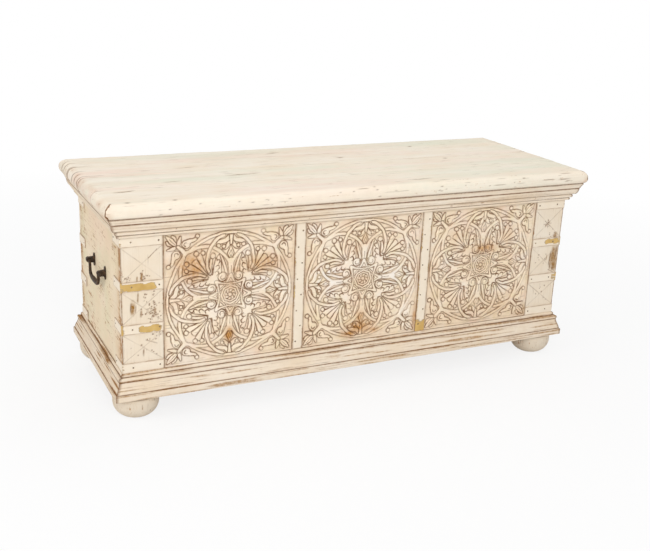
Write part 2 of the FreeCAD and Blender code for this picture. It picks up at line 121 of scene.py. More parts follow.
# Carving, worn edges and grids
carving_step = 0.95
ground_depth = 3.0
groove_depth = 4.0
groove_width = 2.8
hollow_reach = 3.0
narrow_reach = 7.0
stile_step = 1.1
board_step = 4.0
back_step = 8.0
plank_step = 5.0
plank_row_step = 2.6
nosed_step = 2.5
nose_step = 1.6
lid_corner_round = 4.0
moulding_step = 6.0
nick_pitch = 60.0
strip_step = 3.0
strip_rise = 2.4
weld = 0.02

stile_left_width = span_of("front_stile_left")[1][0] - tongue_depth + half_length
stile_right_width = half_length - span_of("front_stile_right")[0][0]
panel_width = (2 * half_length - stile_left_width - stile_right_width - 2 * panel_strap_width) / 3
field_left = -half_length + stile_left_width
panel_pitch = panel_width + panel_strap_width

# Corner straps: height of each one's top, and the faces they hold with their reach along the front or back
strap_tops = [panel_high - drop for drop in strap_drops]
strap_legs = (("front", "left", stile_left_width), ("front", "right", stile_right_width),
              ("back", "left", strap_back_leg), ("back", "right", strap_back_leg))
SIGNS = {"left": -1, "right": 1, "front": -1, "back": 1}


# Materials

def tint(code):
    """Linear colour from an sRGB hex value."""
    channels = [int(code[i:i + 2], 16) / 255 for i in (1, 3, 5)]
    linear = [c / 12.92 if c <= 0.04045 else ((c + 0.055) / 1.055) ** 2.4 for c in channels]
    return (*linear, 1.0)


def add(tree, kind, sockets=None, **settings):
    """Adds a shader node of a kind. Sockets are values, outputs or nodes for its inputs, by name or number;
    a node stands for its first output in use."""
    made = tree.nodes.new("ShaderNode" + kind)
    for key, value in settings.items():
        setattr(made, key, value)
    for key, value in (sockets or {}).items():
        if isinstance(value, bpy.types.Node):
            value = next(output for output in value.outputs if output.enabled)
        if isinstance(value, bpy.types.NodeSocket):
            tree.links.new(value, made.inputs[key])
        else:
            made.inputs[key].default_value = value
    return made


def blank_material(name):
    """Material with an empty node tree, and that tree."""
    material = bpy.data.materials.new(name)
    material.use_nodes = True
    material.node_tree.nodes.clear()
    return material, material.node_tree


def surfaced(tree, height, strength, depth, sockets):
    """Ends a material: a bump from a height, and a surface with these sockets."""
    bump = add(tree, "Bump", {"Strength": strength, "Distance": depth, "Height": height})
    surface = add(tree, "BsdfPrincipled", {"Normal": bump, **sockets})
    add(tree, "OutputMaterial", {"Surface": surface})


def older_tints(tree, place, tints):
    """Faint tints of older coats that show through in patches, each as a mask and a colour."""
    coats = []
    for seed, colour, amount, size in tints:
        shift = add(tree, "Mapping", {"Vector": place, "Location": (seed, seed * 1.7, 0),
                                      "Scale": [1 / length for length in size]})
        patch = add(tree, "TexNoise", {"Vector": shift, "Scale": 1.0, "Detail": 5.0, "Roughness": 0.62})
        mask = add(tree, "MapRange", {0: patch, 1: 0.48, 2: 0.66, 4: amount})
        coats.append((mask, tint(colour)))
    return coats


def limewashed_wood(name, grain, paint, shade, tints=(), worn=0.5, dirt_and_shade=0.8, streaks=0.3, checks=0.5,
                    stain="#b97c3c", lime="#f7f1ea"):
    """Mango wood under brushed limewash. Matt chalky cream that the brush left in streaks along the
    grain; rubbed edges and cut hollows show the sienna wood, the hollows' brown partly painted shade, and
    pores open as short dark checks."""
    material, tree = blank_material(name)
    place = add(tree, "TexCoord").outputs["Object"]
    recess, wear, stained, fresh = [add(tree, "Attribute", attribute_name=layer).outputs["Fac"]
                                    for layer in ("recess", "wear", "stain", "fresh")]
    axis = "xyz".index(grain)
    fibre_size = [1 / 0.0022] * 3
    fibre_size[axis] = 1 / 0.070
    run = add(tree, "Mapping", {"Vector": place, "Scale": fibre_size})
    fibre = add(tree, "TexNoise", {"Vector": run, "Scale": 1.0, "Detail": 3.0, "Roughness": 0.6,
                                   "Distortion": 0.4})
    check_size = [1 / 0.0032] * 3
    check_size[axis] = 1 / 0.055
    shift = add(tree, "Mapping", {"Vector": place, "Scale": check_size, "Location": (7.3, 1.9, 4.1)})
    check = add(tree, "TexNoise", {"Vector": shift, "Scale": 1.0, "Detail": 1.0})
    cloud = add(tree, "TexNoise", {"Vector": place, "Scale": 1 / 0.11, "Detail": 4.0, "Roughness": 0.6})
    mottle = add(tree, "TexNoise", {"Vector": place, "Scale": 1 / 0.009, "Detail": 5.0, "Roughness": 0.68})

    # Coats over the paint, each a mask and a colour: first older tints, brush streaks and checks
    coats = older_tints(tree, place, tints)
    streaked = add(tree, "MapRange", {0: fibre, 1: 0.52, 2: 0.74, 4: streaks})
    checked = add(tree, "MapRange", {0: check, 1: 0.69, 2: 0.76, 4: checks})
    coats += [(streaked, tint("#d2ba98")), (checked, tint("#8c7156"))]

    # Thick lime, which on the lid's nose is a painted highlight, wood that stains the paint from below, and
    # bare wood where paint is rubbed off
    share = add(tree, "MapRange", {0: mottle, 1: 0.32, 2: 0.62, 3: 0.45, 4: 1.0})
    thick = add(tree, "Math", {0: fresh, 1: share}, operation="MULTIPLY")
    soaked = add(tree, "Math", {0: stained, 1: share}, operation="MULTIPLY", use_clamp=True)
    wood = add(tree, "Mix", {0: fibre, 6: tint("#8d5f38"), 7: tint("#c1925f")}, data_type="RGBA")
    broken = add(tree, "Math", {0: mottle, 1: fibre}, operation="ADD")
    rub = add(tree, "Math", {0: wear, 1: 0.62, 2: broken}, operation="MULTIPLY_ADD")
    rubbed = add(tree, "MapRange", {0: rub, 1: 1.36 - 0.12 * worn, 2: 1.50 - 0.12 * worn})
    coats += [(thick, tint(lime)), (soaked, tint(stain)), (rubbed, wood)]

    # Brown left in the cut hollows, partly real brown and partly painted shade, broken where limewash still
    # fills them
    hollow = add(tree, "MapRange", {0: mottle, 1: 0.30, 2: 0.60, 3: 0.7, 4: 1.0})
    held = add(tree, "Math", {0: recess, 1: hollow}, operation="MULTIPLY")
    dirt_and_shade_mask = add(tree, "Math", {0: held, 1: dirt_and_shade}, operation="MULTIPLY", use_clamp=True)
    coats.append((dirt_and_shade_mask, tint("#714511")))

    # Cream paint that drifts to a second shade, under all its coats
    drifted = add(tree, "MapRange", {0: cloud, 1: 0.35, 2: 0.65})
    base = add(tree, "Mix", {0: drifted, 6: tint(paint), 7: tint(shade)}, data_type="RGBA")
    for mask, colour in coats:
        base = add(tree, "Mix", {0: mask, 6: base, 7: colour}, data_type="RGBA")
    rough = add(tree, "MapRange", {0: mottle, 3: 0.72, 4: 0.92})
    grit = add(tree, "Math", {0: fibre, 1: 0.7, 2: mottle}, operation="MULTIPLY_ADD")
    surfaced(tree, grit, 0.3, 0.0005, {"Base Color": base, "Roughness": rough, "IOR": 1.45})
    return material


def bare_wood(name, grain):
    """Unpainted sawn mango wood inside the trunk: warm brown with darker growth lines and saw fuzz."""
    material, tree = blank_material(name)
    place = add(tree, "TexCoord").outputs["Object"]
    stretch = [1 / 0.009] * 3
    stretch["xyz".index(grain)] = 1 / 0.25
    lines = add(tree, "Mapping", {"Vector": place, "Scale": stretch})
    growth = add(tree, "TexNoise", {"Vector": lines, "Scale": 1.0, "Detail": 4.0, "Roughness": 0.55,
                                    "Distortion": 0.8})
    fine = add(tree, "Mapping", {"Vector": lines, "Scale": (5, 5, 5)})
    pores = add(tree, "TexNoise", {"Vector": fine, "Scale": 1.0, "Detail": 2.0})
    tone = add(tree, "MapRange", {0: growth, 1: 0.3, 2: 0.7})
    wood = add(tree, "Mix", {0: tone, 6: tint("#8f673f"), 7: tint("#b98d5f")}, data_type="RGBA")
    opened = add(tree, "MapRange", {0: pores, 1: 0.58, 2: 0.72, 4: 0.55})
    wood = add(tree, "Mix", {0: opened, 6: wood, 7: tint("#6b4728")}, data_type="RGBA")
    surfaced(tree, pores, 0.3, 0.0004, {"Base Color": wood, "Roughness": 0.78, "IOR": 1.45})
    return material


def limewashed_brass(name):
    """Brass strip painted over with the wood, then rubbed: chalky cream with bare golden patches, ragged and
    brown at their edges."""
    material, tree = blank_material(name)
    place = add(tree, "TexCoord").outputs["Object"]
    bare, recess = [add(tree, "Attribute", attribute_name=layer).outputs["Fac"]
                    for layer in ("wear", "recess")]
    drawn = add(tree, "Mapping", {"Vector": place, "Scale": (1 / 0.018, 1 / 0.018, 1 / 0.005)})
    flakes = add(tree, "TexNoise", {"Vector": drawn, "Scale": 1.0, "Detail": 5.0, "Roughness": 0.72})
    tarnish = add(tree, "TexNoise", {"Vector": place, "Scale": 1 / 0.016, "Detail": 4.0})
    dents = add(tree, "TexNoise", {"Vector": place, "Scale": 1 / 0.007, "Detail": 2.0})
    paint, brass = [add(tree, "Mix", {0: tarnish, 6: tint(light), 7: tint(deep)}, data_type="RGBA")
                    for light, deep in (("#f4e8d6", "#ecdcc4"), ("#e6c680", "#bd9249"))]
    # Brown along the strip's edges, partly painted shade where the strip stands proud of the wood.
    dirt_and_shade_mask = add(tree, "Math", {0: recess, 1: 0.7}, operation="MULTIPLY")
    spread = add(tree, "Math", {0: bare, 1: flakes}, operation="ADD")
    rim = add(tree, "MapRange", {0: spread, 1: 0.82, 2: 0.94, 4: 0.75})
    rubbed = add(tree, "MapRange", {0: spread, 1: 0.94, 2: 1.04})
    colour = paint
    for mask, coat in ((dirt_and_shade_mask, tint("#95693d")), (rim, tint("#8f6d35")), (rubbed, brass)):
        colour = add(tree, "Mix", {0: mask, 6: colour, 7: coat}, data_type="RGBA")
    metal = add(tree, "Math", {0: rubbed, 1: 0.4}, operation="MULTIPLY")
    rough = add(tree, "MapRange", {0: rubbed, 3: 0.75, 4: 0.42})
    surfaced(tree, dents, 0.25, 0.0006, {"Base Color": colour, "Metallic": metal, "Roughness": rough})
    return material


def forged_iron(name, colour, rust, metallic):
    """Hand forged iron, blacked and handled: dark brown with rusty bloom and hammered dents."""
    material, tree = blank_material(name)
    place = add(tree, "TexCoord").outputs["Object"]
    bloom = add(tree, "TexNoise", {"Vector": place, "Scale": 1 / 0.006, "Detail": 5.0, "Roughness": 0.65})
    dents = add(tree, "TexNoise", {"Vector": place, "Scale": 1 / 0.004, "Detail": 2.0})
    rusty = add(tree, "MapRange", {0: bloom, 1: 0.45, 2: 0.7})
    tone = add(tree, "Mix", {0: rusty, 6: tint(colour), 7: tint(rust)}, data_type="RGBA")
    rough = add(tree, "MapRange", {0: bloom, 3: 0.42, 4: 0.72})
    surfaced(tree, dents, 0.35, 0.0005, {"Base Color": tone, "Metallic": metallic, "Roughness": rough})
    return material


# Older coats: place in the noise, colour, strength and size of the patches along x, y and z in metres
lid_coats = ((3.1, "#eed3c3", 0.6, (0.5, 0.10, 0.10)), (8.7, "#dde2ce", 0.6, (0.6, 0.12, 0.12)),
             (5.3, "#f4ecdf", 0.6, (0.4, 0.05, 0.05)))
end_coats = ((2.3, "#dcd5b2", 0.75, (0.2, 0.2, 0.2)), (5.9, "#ecd0b8", 0.5, (0.15, 0.15, 0.15)))
carving_coats = ((4.3, "#f6efe6", 0.5, (0.05, 0.05, 0.05)), (6.1, "#ecdcb2", 0.4, (0.03, 0.03, 0.03)),
                 (1.7, "#f0d0b8", 0.4, (0.04, 0.04, 0.04)))
# On the lid, the thick lime colour is a painted highlight on the front and back of its nose.
lid_lime = limewashed_wood("limewashed_mango_lid", "x", "#efe5d4", "#eddfca", lid_coats, worn=0.2, dirt_and_shade=0.95,
                           streaks=0.25, checks=0.75, lime="#fbeedb")
carving_lime = limewashed_wood("limewashed_mango_carving", "x", "#f9e9d1", "#f5dfc2", carving_coats,
                               worn=0.3, dirt_and_shade=1.0, stain="#c99250")
stile_lime = limewashed_wood("limewashed_mango_stile", "z", "#efe3d1", "#ebdbc4", worn=0.4, dirt_and_shade=1.0,
                             stain="#94661a")
end_lime = limewashed_wood("limewashed_mango_end", "y", "#efe0c6", "#e9d5b5", end_coats, streaks=0.2,
                           checks=0.4)
back_lime = limewashed_wood("limewashed_mango_back", "x", "#efe1cb", "#e8d5b9", end_coats, dirt_and_shade=0.7,
                            streaks=0.4)
run_lime = limewashed_wood("limewashed_mango_moulding", "x", "#f3e7d5", "#eedcc3", worn=0.6, dirt_and_shade=0.95,
                           stain="#a37745")
return_lime = limewashed_wood("limewashed_mango_return", "y", "#f2e5d1", "#ecd9bf", worn=0.7, dirt_and_shade=1.0,
                              stain="#9a6f3e")
foot_lime = limewashed_wood("limewashed_mango_foot", "z", "#e3d6c3", "#dbcbb4", worn=0.4, dirt_and_shade=0.7,
                            streaks=0.4)
board_wood = bare_wood("sawn_mango_board", "x")
cross_wood = bare_wood("sawn_mango_cross", "y")
strip_brass = limewashed_brass("limewashed_brass_strip")
handle_iron = forged_iron("forged_iron_handle", "#33271d", "#664a2f", 0.5)
nail_iron = forged_iron("painted_iron_nail", "#685138", "#b39b7a", 0.0)


# Modelling helpers

def only(piece):
    """Selects one piece and makes it active."""
    bpy.ops.object.select_all(action="DESELECT")
    piece.select_set(True)
    bpy.context.view_layer.objects.active = piece


def edited(piece):
    """Opens a piece in edit mode, with all of it selected."""
    only(piece)
    bpy.ops.object.mode_set(mode="EDIT")
    bpy.ops.mesh.select_all(action="SELECT")


def shut():
    """Turns the faces of the open piece outward and leaves edit mode."""
    bpy.ops.mesh.select_all(action="SELECT")
    bpy.ops.mesh.normals_make_consistent(inside=False)
    bpy.ops.object.mode_set(mode="OBJECT")


def laid_grid(name, points):
    """Grid primitive laid on rows and columns of points, in millimetres."""
    rows, columns = points.shape[:2]
    bpy.ops.object.select_all(action="DESELECT")
    bpy.ops.mesh.primitive_grid_add(x_subdivisions=columns - 1, y_subdivisions=rows - 1, size=1.0,
                                    calc_uvs=False)
    piece = bpy.context.object
    piece.name = name
    piece.data.name = name
    move_points(piece, points)
    return piece


def close(piece, inward=None, merge=0.0):
    """Closes an open sheet: its edge goes inward if asked, then to a point in its middle."""
    edited(piece)
    bpy.ops.mesh.select_mode(type="VERT")
    if merge:
        bpy.ops.mesh.remove_doubles(threshold=merge * MM)
        bpy.ops.mesh.dissolve_degenerate(threshold=merge * MM)
    bpy.ops.mesh.select_mode(type="EDGE")
    bpy.ops.mesh.select_all(action="DESELECT")
    bpy.ops.mesh.select_non_manifold(extend=False, use_wire=False, use_boundary=True, use_multi_face=False,
                                     use_non_contiguous=False, use_verts=False)
    if inward is not None:
        bpy.ops.mesh.extrude_region_move(TRANSFORM_OT_translate={"value": [v * MM for v in inward]})
    bpy.ops.mesh.extrude_region_move()
    bpy.ops.mesh.merge(type="CENTER")
    shut()


def capped(piece):
    """Joins the first and last points of a grid that runs round a bar or board, and closes its two ends."""
    edited(piece)
    bpy.ops.mesh.remove_doubles(threshold=weld * MM)
    bpy.ops.mesh.fill_holes(sides=0)
    shut()


def places(piece):
    """Positions of a piece's points, in millimetres."""
    flat = np.zeros(len(piece.data.vertices) * 3, np.float32)
    piece.data.vertices.foreach_get("co", flat)
    return flat.reshape(-1, 3).astype(float) / MM


def move_points(piece, points):
    """Puts a piece's points at new positions, in millimetres."""
    piece.data.vertices.foreach_set("co", (points * MM).astype(np.float32).reshape(-1))
    piece.data.update()


def mark(piece, **layers):
    """Keeps values for each point, for the finish to read; points added later get none."""
    for name, values in layers.items():
        full = np.zeros(len(piece.data.vertices), np.float32)
        full[:values.size] = values.reshape(-1)
        piece.data.attributes.new(name, "FLOAT", "POINT").data.foreach_set("value", full)


def smooth_by(piece, angle):
    """Shades a piece smooth, apart from edges sharper than an angle in degrees."""
    only(piece)
    bpy.ops.object.shade_smooth_by_angle(angle=math.radians(angle))


def modified(piece, kind, **settings):
    """Adds a modifier to a piece and applies it."""
    only(piece)
    bpy.ops.object.modifier_add(type=kind)
    modifier = piece.modifiers[-1]
    for key, value in settings.items():
        setattr(modifier, key, value)
    bpy.ops.object.modifier_apply(modifier=modifier.name)


def bevelled(piece, width, segments=2, angle=40):
    """Eases a piece's sharp edges."""
    modified(piece, "BEVEL", width=width * MM, segments=segments, limit_method="ANGLE",
             angle_limit=math.radians(angle))


def finished(piece, node, material, inner=None, is_inner=None):
    """Gives a piece its finish, and a second one inside, and puts it in its solid's place."""
    piece.data.materials.clear()
    piece.data.materials.append(material)
    if inner is not None:
        piece.data.materials.append(inner)
        for face in piece.data.polygons:
            face.material_index = 1 if is_inner(face.center / MM, face.normal) else 0
    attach(piece, nodes[node]["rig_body"])
    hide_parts(node)


def eased_copy(node, width, material):
    """Copy of a solid with merged faces and eased edges."""
    source = nodes[node]
    piece = source.copy()
    piece.data = source.data.copy()
    piece.parent = None
    for key in list(piece.keys()):
        del piece[key]
    bpy.context.scene.collection.objects.link(piece)
    piece.name = node + "_eased"
    edited(piece)
    bpy.ops.mesh.remove_doubles(threshold=0.01 * MM)
    bpy.ops.mesh.dissolve_limited(angle_limit=math.radians(0.5))
    bpy.ops.object.mode_set(mode="OBJECT")
    bevelled(piece, width)
    smooth_by(piece, 35)
    finished(piece, node, material)


def drift(p, q, cell, seed):
    """Smooth random field over two coordinates, from -1 to 1, with a new value each cell."""
    lattice = np.random.default_rng(seed).uniform(-1, 1, (64, 64))
    a = p / cell + 500
    b = q / cell + 500
    i = np.floor(a).astype(int)
    j = np.floor(b).astype(int)
    s = ease(a - i)
    t = ease(b - j)
    low = lattice[i % 64, j % 64] * (1 - s) + lattice[(i + 1) % 64, j % 64] * s
    high = lattice[i % 64, (j + 1) % 64] * (1 - s) + lattice[(i + 1) % 64, (j + 1) % 64] * s
    return low * (1 - t) + high * t


def ease(t):
    """Soft step from 0 to 1."""
    t = np.clip(t, 0, 1)
    return t * t * (3 - 2 * t)


def blob(x, y, at_x, at_y, size_x, size_y, power=2):
    """Soft spot, 1 at its middle; a higher power makes it flatter along x, with steeper ends."""
    return np.exp(-((x - at_x) / size_x) ** power - ((y - at_y) / size_y) ** 2)


def blurred(field, reach):
    """Mean of a field over a square of cells."""
    for axis in (0, 1):
        padded = np.concatenate([np.repeat(np.take(field, [0], axis), reach, axis), field,
                                 np.repeat(np.take(field, [-1], axis), reach, axis)], axis)
        total = np.cumsum(padded, axis)
        size = field.shape[axis]
        upper = np.take(total, range(2 * reach, 2 * reach + size), axis)
        first = np.take(total, range(0, size), axis) - np.take(padded, range(0, size), axis)
        field = (upper - first) / (2 * reach + 1)
    return field


# Carving

def flowing(points, steps=6):
    """Points of a smooth line through given points."""
    p = np.array(points, float)
    if len(p) < 3:
        return np.array([p[0] + (p[-1] - p[0]) * t for t in (0, 0.5, 1)])
    q = np.vstack([2 * p[0] - p[1], p, 2 * p[-1] - p[-2]])
    made = []
    for before, start, end, after in zip(q, q[1:], q[2:], q[3:]):
        for t in np.linspace(0, 1, steps, endpoint=False):
            bend = (2 * before - 5 * start + 4 * end - after) * t * t
            twist = (3 * start - before - 3 * end + after) * t ** 3
            made.append(start + ((end - before) * t + bend + twist) / 2)
    made.append(q[-2])
    return np.array(made)


def stroke(u, v, points, widths):
    """How far each place lies outside a tapered stroke through points, negative inside it."""
    path = flowing(points)
    half = np.interp(np.linspace(0, 1, len(path)), np.linspace(0, 1, len(widths)), widths) / 2
    away = np.full(u.shape, 99.0)
    reach = half.max() + 6
    near = (u > path[:, 0].min() - reach) & (u < path[:, 0].max() + reach)
    near &= (v > path[:, 1].min() - reach) & (v < path[:, 1].max() + reach)
    pu = u[near]
    pv = v[near]
    best = np.full(pu.shape, 99.0)
    for a, b, half_a, half_b in zip(path, path[1:], half, half[1:]):
        du, dv = b - a
        t = np.clip(((pu - a[0]) * du + (pv - a[1]) * dv) / max(du * du + dv * dv, 1e-9), 0, 1)
        gap = np.hypot(pu - a[0] - t * du, pv - a[1] - t * dv) - (half_a + t * (half_b - half_a))
        best = np.minimum(best, gap)
    away[near] = best
    return away


class Relief:
    """One carved field, worked motif by motif from the sunk ground up. It keeps the height, zero at the
    board's face, and the brown line left where each outline was cut, which is partly painted shade in the
    cut. The design is mirrored about both axes and both diagonals, and shifted a little all over as a hand
    does."""

    def __init__(self, x, y, seed):
        wx = x
        wy = y
        for step, (shift, cell) in enumerate(((1.5, 60), (0.8, 18), (0.35, 6))):
            wx = wx + shift * drift(x, y, cell, seed + step)
            wy = wy + shift * drift(x, y, cell, seed + 3 + step)
        self.u = np.minimum(np.abs(wx), np.abs(wy))
        self.v = np.maximum(np.abs(wx), np.abs(wy))
        self.r = np.hypot(wx, wy)
        self.theta = np.arctan2(wy, wx)
        self.height = -ground_depth + 0.3 * drift(x, y, 7, seed + 6)
        self.line = np.zeros(x.shape)

    def lift(self, away, level=-0.2, ease_off=0.7, edge=2.0, groove=groove_width, deep=groove_depth,
             dark=1.0):
        """Raises the places where away is negative, with a cut round them unless groove is zero."""
        top = level - ease_off * np.clip(1 + away / edge, 0, 1) ** 2
        share = ease(0.5 - away / 0.9)
        if groove:
            ditch = -deep * ease(1 - away / groove)
            self.height = np.where(away < groove, np.minimum(self.height, ditch), self.height)
            self.line = np.maximum(self.line, dark * ease(1.15 - away / groove))
        self.height = self.height * (1 - share) + top * share
        self.line = self.line * (1 - share)

    def stroke(self, points, widths, **how):
        """Raises a tapered stroke."""
        self.lift(stroke(self.u, self.v, points, widths), **how)

    def bead(self, centre_u, centre_v, radius, level=-0.3):
        """Raises a round dome."""
        self.lift(np.hypot(self.u - centre_u, self.v - centre_v) - radius, level, 1.0, radius)

    def pit(self, points, widths, deep=2.6):
        """Sinks a tapered stroke into what is carved so far."""
        sunk = ease(0.5 - stroke(self.u, self.v, points, widths) / 1.1)
        self.height = self.height - deep * sunk
        self.line = np.maximum(self.line, 0.9 * sunk)

    def score(self, gap, width, deep):
        """Cuts a line where gap, the distance from it, is under its half width."""
        cut = ease(1.2 * (1 - gap / width))
        self.height = self.height - deep * cut
        self.line = np.maximum(self.line, cut)


def carve_shell(relief):
    """Shell on the diagonal: five round ribs that fan out from the heel, and berries at their tips."""
    heel = 44.0
    rib_angle = math.radians(15)
    last_rib = 2
    across = relief.u - heel
    along = relief.v - heel
    rho = np.hypot(across, along)
    phi = np.arctan2(along, across) - math.pi / 4
    spread = rib_angle * (0.72 + 0.0065 * rho)
    phase = phi / spread
    off_rib = np.abs(phase - np.round(phase))
    tip = np.interp(np.round(phase), (0, 1, last_rib), (50, 55, 66)) + 3.0 * (1 - 4 * off_rib ** 2)
    fan = np.maximum(rho - tip, rho * spread * (phase - last_rib - 0.5))
    relief.lift(fan, -0.35, 0.9, 4.0)
    ribbed = ease((rho - 5) / 9) * (fan < 0)
    relief.height = relief.height - 1.3 * ribbed * (2 * off_rib) ** 2
    gap = np.where(fan < 0, (0.5 - off_rib) * spread * rho, 9.0)
    relief.score(gap, np.clip(0.7 + 0.032 * rho, 0.9, 2.4) * ease((rho - 3) / 7) + 0.01, 1.8)
    relief.bead(61.5, 96.8, 3.9)
    relief.bead(76.4, 96.0, 4.4)


def carve_palmette(relief):
    """Half palmette beside the stem: a hook along the arch, a leaf with curls, a notch and a vein cut into
    it, and its rim, which swells into a coil at the foot."""
    relief.stroke([(45.5, 54), (45.4, 67), (44, 79), (41, 87)], [7, 5.8, 4.6, 4.2])
    relief.bead(39.2, 89.6, 5.0, -0.15)
    relief.stroke([(32, 42), (30.6, 56), (29.4, 67), (27.8, 78), (24.5, 90)], [19, 17, 15, 12, 2.6],
                  level=-0.35, ease_off=0.9, edge=4.0)
    curl = ((0.8, 0.6), (-0.2, 1.0), (-0.6, 0.0), (0.0, -0.7))
    for curl_u, curl_v, reach in ((30.8, 50, 5.8), (29.2, 63, 6.0), (27.4, 76, 5.0)):
        line = [(curl_u + du * reach, curl_v + dv * reach) for du, dv in curl]
        relief.pit(line, [1.4, 2.6, 2.8, 1.6], 1.7)
    relief.pit([(34.0, 84.6), (31.6, 83.4), (28.6, 79.6)], [1.6, 3.0, 1.4], 1.8)
    vein = stroke(relief.u, relief.v, [(41, 47), (38.4, 54), (37.6, 64), (36.6, 73)], [0, 0])
    relief.score(vein, 1.0, 1.4)
    relief.stroke([(22.6, 92), (17.8, 78), (13.4, 64), (10.8, 52), (11.8, 43)], [2.6, 4.4, 5, 5, 6])
    coil_u = 18.0
    coil_v = 41.6
    relief.bead(coil_u, coil_v, 9.0, -0.1)
    turn = np.mod(np.arctan2(relief.v - coil_v, relief.u - coil_u) - 2.4, 2 * np.pi)
    off_coil = np.abs(np.hypot(relief.u - coil_u, relief.v - coil_v) - (7.4 - 0.85 * turn))
    relief.score(np.where(turn < 4.8, off_coil, 9.0), 1.3, 1.8)


def carve_lily(relief):
    """Lily between the cusp and the ring: a sunk bud and two pairs of lobed leaves on a stalk."""
    relief.stroke([(4, 129), (10, 121), (18, 118.5), (26, 116), (31.5, 109)], [6, 8.5, 8, 8, 3.4],
                  level=-0.3)
    relief.bead(28.0, 109.4, 3.6)
    relief.stroke([(1.5, 118), (6, 110.5), (11.5, 105), (17.6, 102.6)], [5, 7.6, 6.6, 3.4], level=-0.3)
    relief.bead(16.6, 107.4, 3.2)
    relief.stroke([(0, 134), (0, 122), (0, 112)], [8, 5.4, 4.4], level=-0.2)
    bud = np.maximum(relief.u / 6.6 + np.abs(relief.v - 92) / 14.5 - 1, -1) * 6.0
    relief.lift(bud, -0.9, 1.2, 4.0)
    inner_bud = np.abs(bud + 3.2)
    relief.score(np.where(bud < -1.6, inner_bud, 9.0), 0.8, 1.0)


def carve_sprig(relief):
    """Sprig in each corner outside the ring: a leaf of three lobes, two petals, and two commas that end in a
    knob and have a curl cut into the head."""
    relief.stroke([(119, 119), (122.4, 127), (122.8, 134), (127, 139)], [6, 9.6, 7.4, 3], level=-0.4,
                  ease_off=0.9)
    relief.stroke([(118, 118), (129, 129), (139, 139)], [6, 11, 2.6], level=-0.3, ease_off=1.0, edge=4.0)
    relief.score(np.where((relief.u > 121) & (relief.u < 134), (relief.v - relief.u) / 1.4, 9.0), 0.8, 1.2)
    relief.stroke([(115.4, 116), (112.4, 125.5), (109.4, 136.4)], [4.6, 7.4, 2.2])
    head = np.hypot(relief.u - 98, relief.v - 119) - 8.2
    tail = stroke(relief.u, relief.v, [(96, 122), (88.5, 125.4), (81.5, 126.2), (76.4, 129), (74.4, 133)],
                  [11, 7.6, 5.6, 5.0, 5.0])
    relief.lift(np.minimum(head, tail), -0.1, 0.8, 4.0)
    relief.bead(73.6, 134.2, 3.8, -0.1)
    relief.pit([(99.8, 114.8), (102.6, 118), (101, 122.2), (96.4, 123)], [2.8, 2.6, 2.0, 1.0], 1.7)


def carve_bands(relief):
    """One band of lobes that meet in cusps and run in as stems, with the ring and the stalks of the sprigs,
    then the arches that cross it between lilies and shells, and the plain heels they end in."""
    u = relief.u
    v = relief.v
    lobe = stroke(u, v, [(0, 68), (6.5, 78.7), (13.2, 88.2), (23.7, 97.6), (35.6, 104.5), (48.5, 109.4),
                         (60, 110), (75.4, 108), (89.5, 103), (104, 101)],
                  [7.4, 6, 5.8, 6, 6.2, 6.2, 6.2, 6.2, 6.4, 7.4])
    stem = stroke(u, v, [(0, 76), (0, 62), (0, 46)], [13, 11, 8])
    ring = np.abs(relief.r - 136.6 - 2.0 * ease((u / np.maximum(v, 1) - 0.5) / 0.5)) - 2.6
    stalk = stroke(u, v, [(100, 100), (115, 115)], [9, 6])
    relief.lift(np.minimum.reduce([lobe, stem, ring, stalk]), dark=0.75)
    relief.score(np.where((v > 46) & (v < 66), u, 9.0), 0.8, 1.2)
    arch = stroke(u, v, [(16, 131.5), (29, 125), (38, 116), (45, 107.5), (50, 95), (52.6, 82), (52.4, 68),
                         (48, 57)], [6, 6.2, 6.2, 6.2, 6, 5.8, 5.4, 4.8])
    relief.lift(np.maximum(arch, relief.r - 134), dark=0.8)
    relief.stroke([(31, 31), (36, 37), (42, 43)], [8, 10, 10], level=-0.3, ease_off=0.3, groove=0)


def carve_rosette(relief):
    """Star of two hollow sided squares round two octagons and a whirling flower."""
    relief.stroke([(0, 45), (3.6, 38), (8.2, 29.5), (12.5, 22.5), (17.4, 17.4)], [7, 4.2, 3.2, 2.8, 2.8],
                  level=-0.5, groove=1.8, deep=3.0)
    relief.stroke([(0, 23.8), (10.8, 25.6), (20, 27.6), (32, 32)], [3.0, 3.2, 3.6, 6.4], groove=1.8,
                  deep=3.0)
    flat = relief.r * np.cos(np.mod(relief.theta, np.pi / 4) - np.pi / 8)
    relief.height = np.where(flat < 20.6, np.minimum(relief.height, -2.4), relief.height)
    relief.lift(np.abs(flat - 19.0) - 1.9, -0.4, groove=1.5, deep=3.0)
    relief.lift(np.abs(flat - 13.8) - 1.6, -0.7, groove=1.3, deep=2.8)
    swirl = np.mod(relief.theta + 0.06 * relief.r, np.pi / 4) - np.pi / 8
    petal = np.abs(swirl) * relief.r - (0.5 + 0.2 * relief.r)
    relief.lift(np.maximum(petal, np.maximum(5 - relief.r, flat - 11.4)), -0.8, 0.6, 1.2, 1.4, 3.0)
    relief.lift(relief.r - 4.0, -0.5, 0.6, 3.0)


def carved(x, y, seed):
    """Height and brown line, partly painted shade, of one panel's field."""
    relief = Relief(x, y, seed)
    carve_shell(relief)
    carve_palmette(relief)
    carve_lily(relief)
    carve_sprig(relief)
    carve_bands(relief)
    carve_rosette(relief)
    margin = panel_width / 2 - np.maximum(np.abs(x), np.abs(y))
    plain = ease((margin - 1.6) / 1.8)
    height = np.where(margin < 3.4, np.maximum(relief.height, -ground_depth * plain), relief.height)
    return np.minimum(height, 0.0), relief.line * plain


def soft_patches(x, y, patches):
    """Soft patches, each given by its place, its reach both ways and its strength."""
    field = np.zeros(x.shape)
    for place_x, place_y, reach_x, reach_y, strength in patches:
        field = np.maximum(field, strength * blob(x, y, place_x, place_y, reach_x, reach_y))
    return field


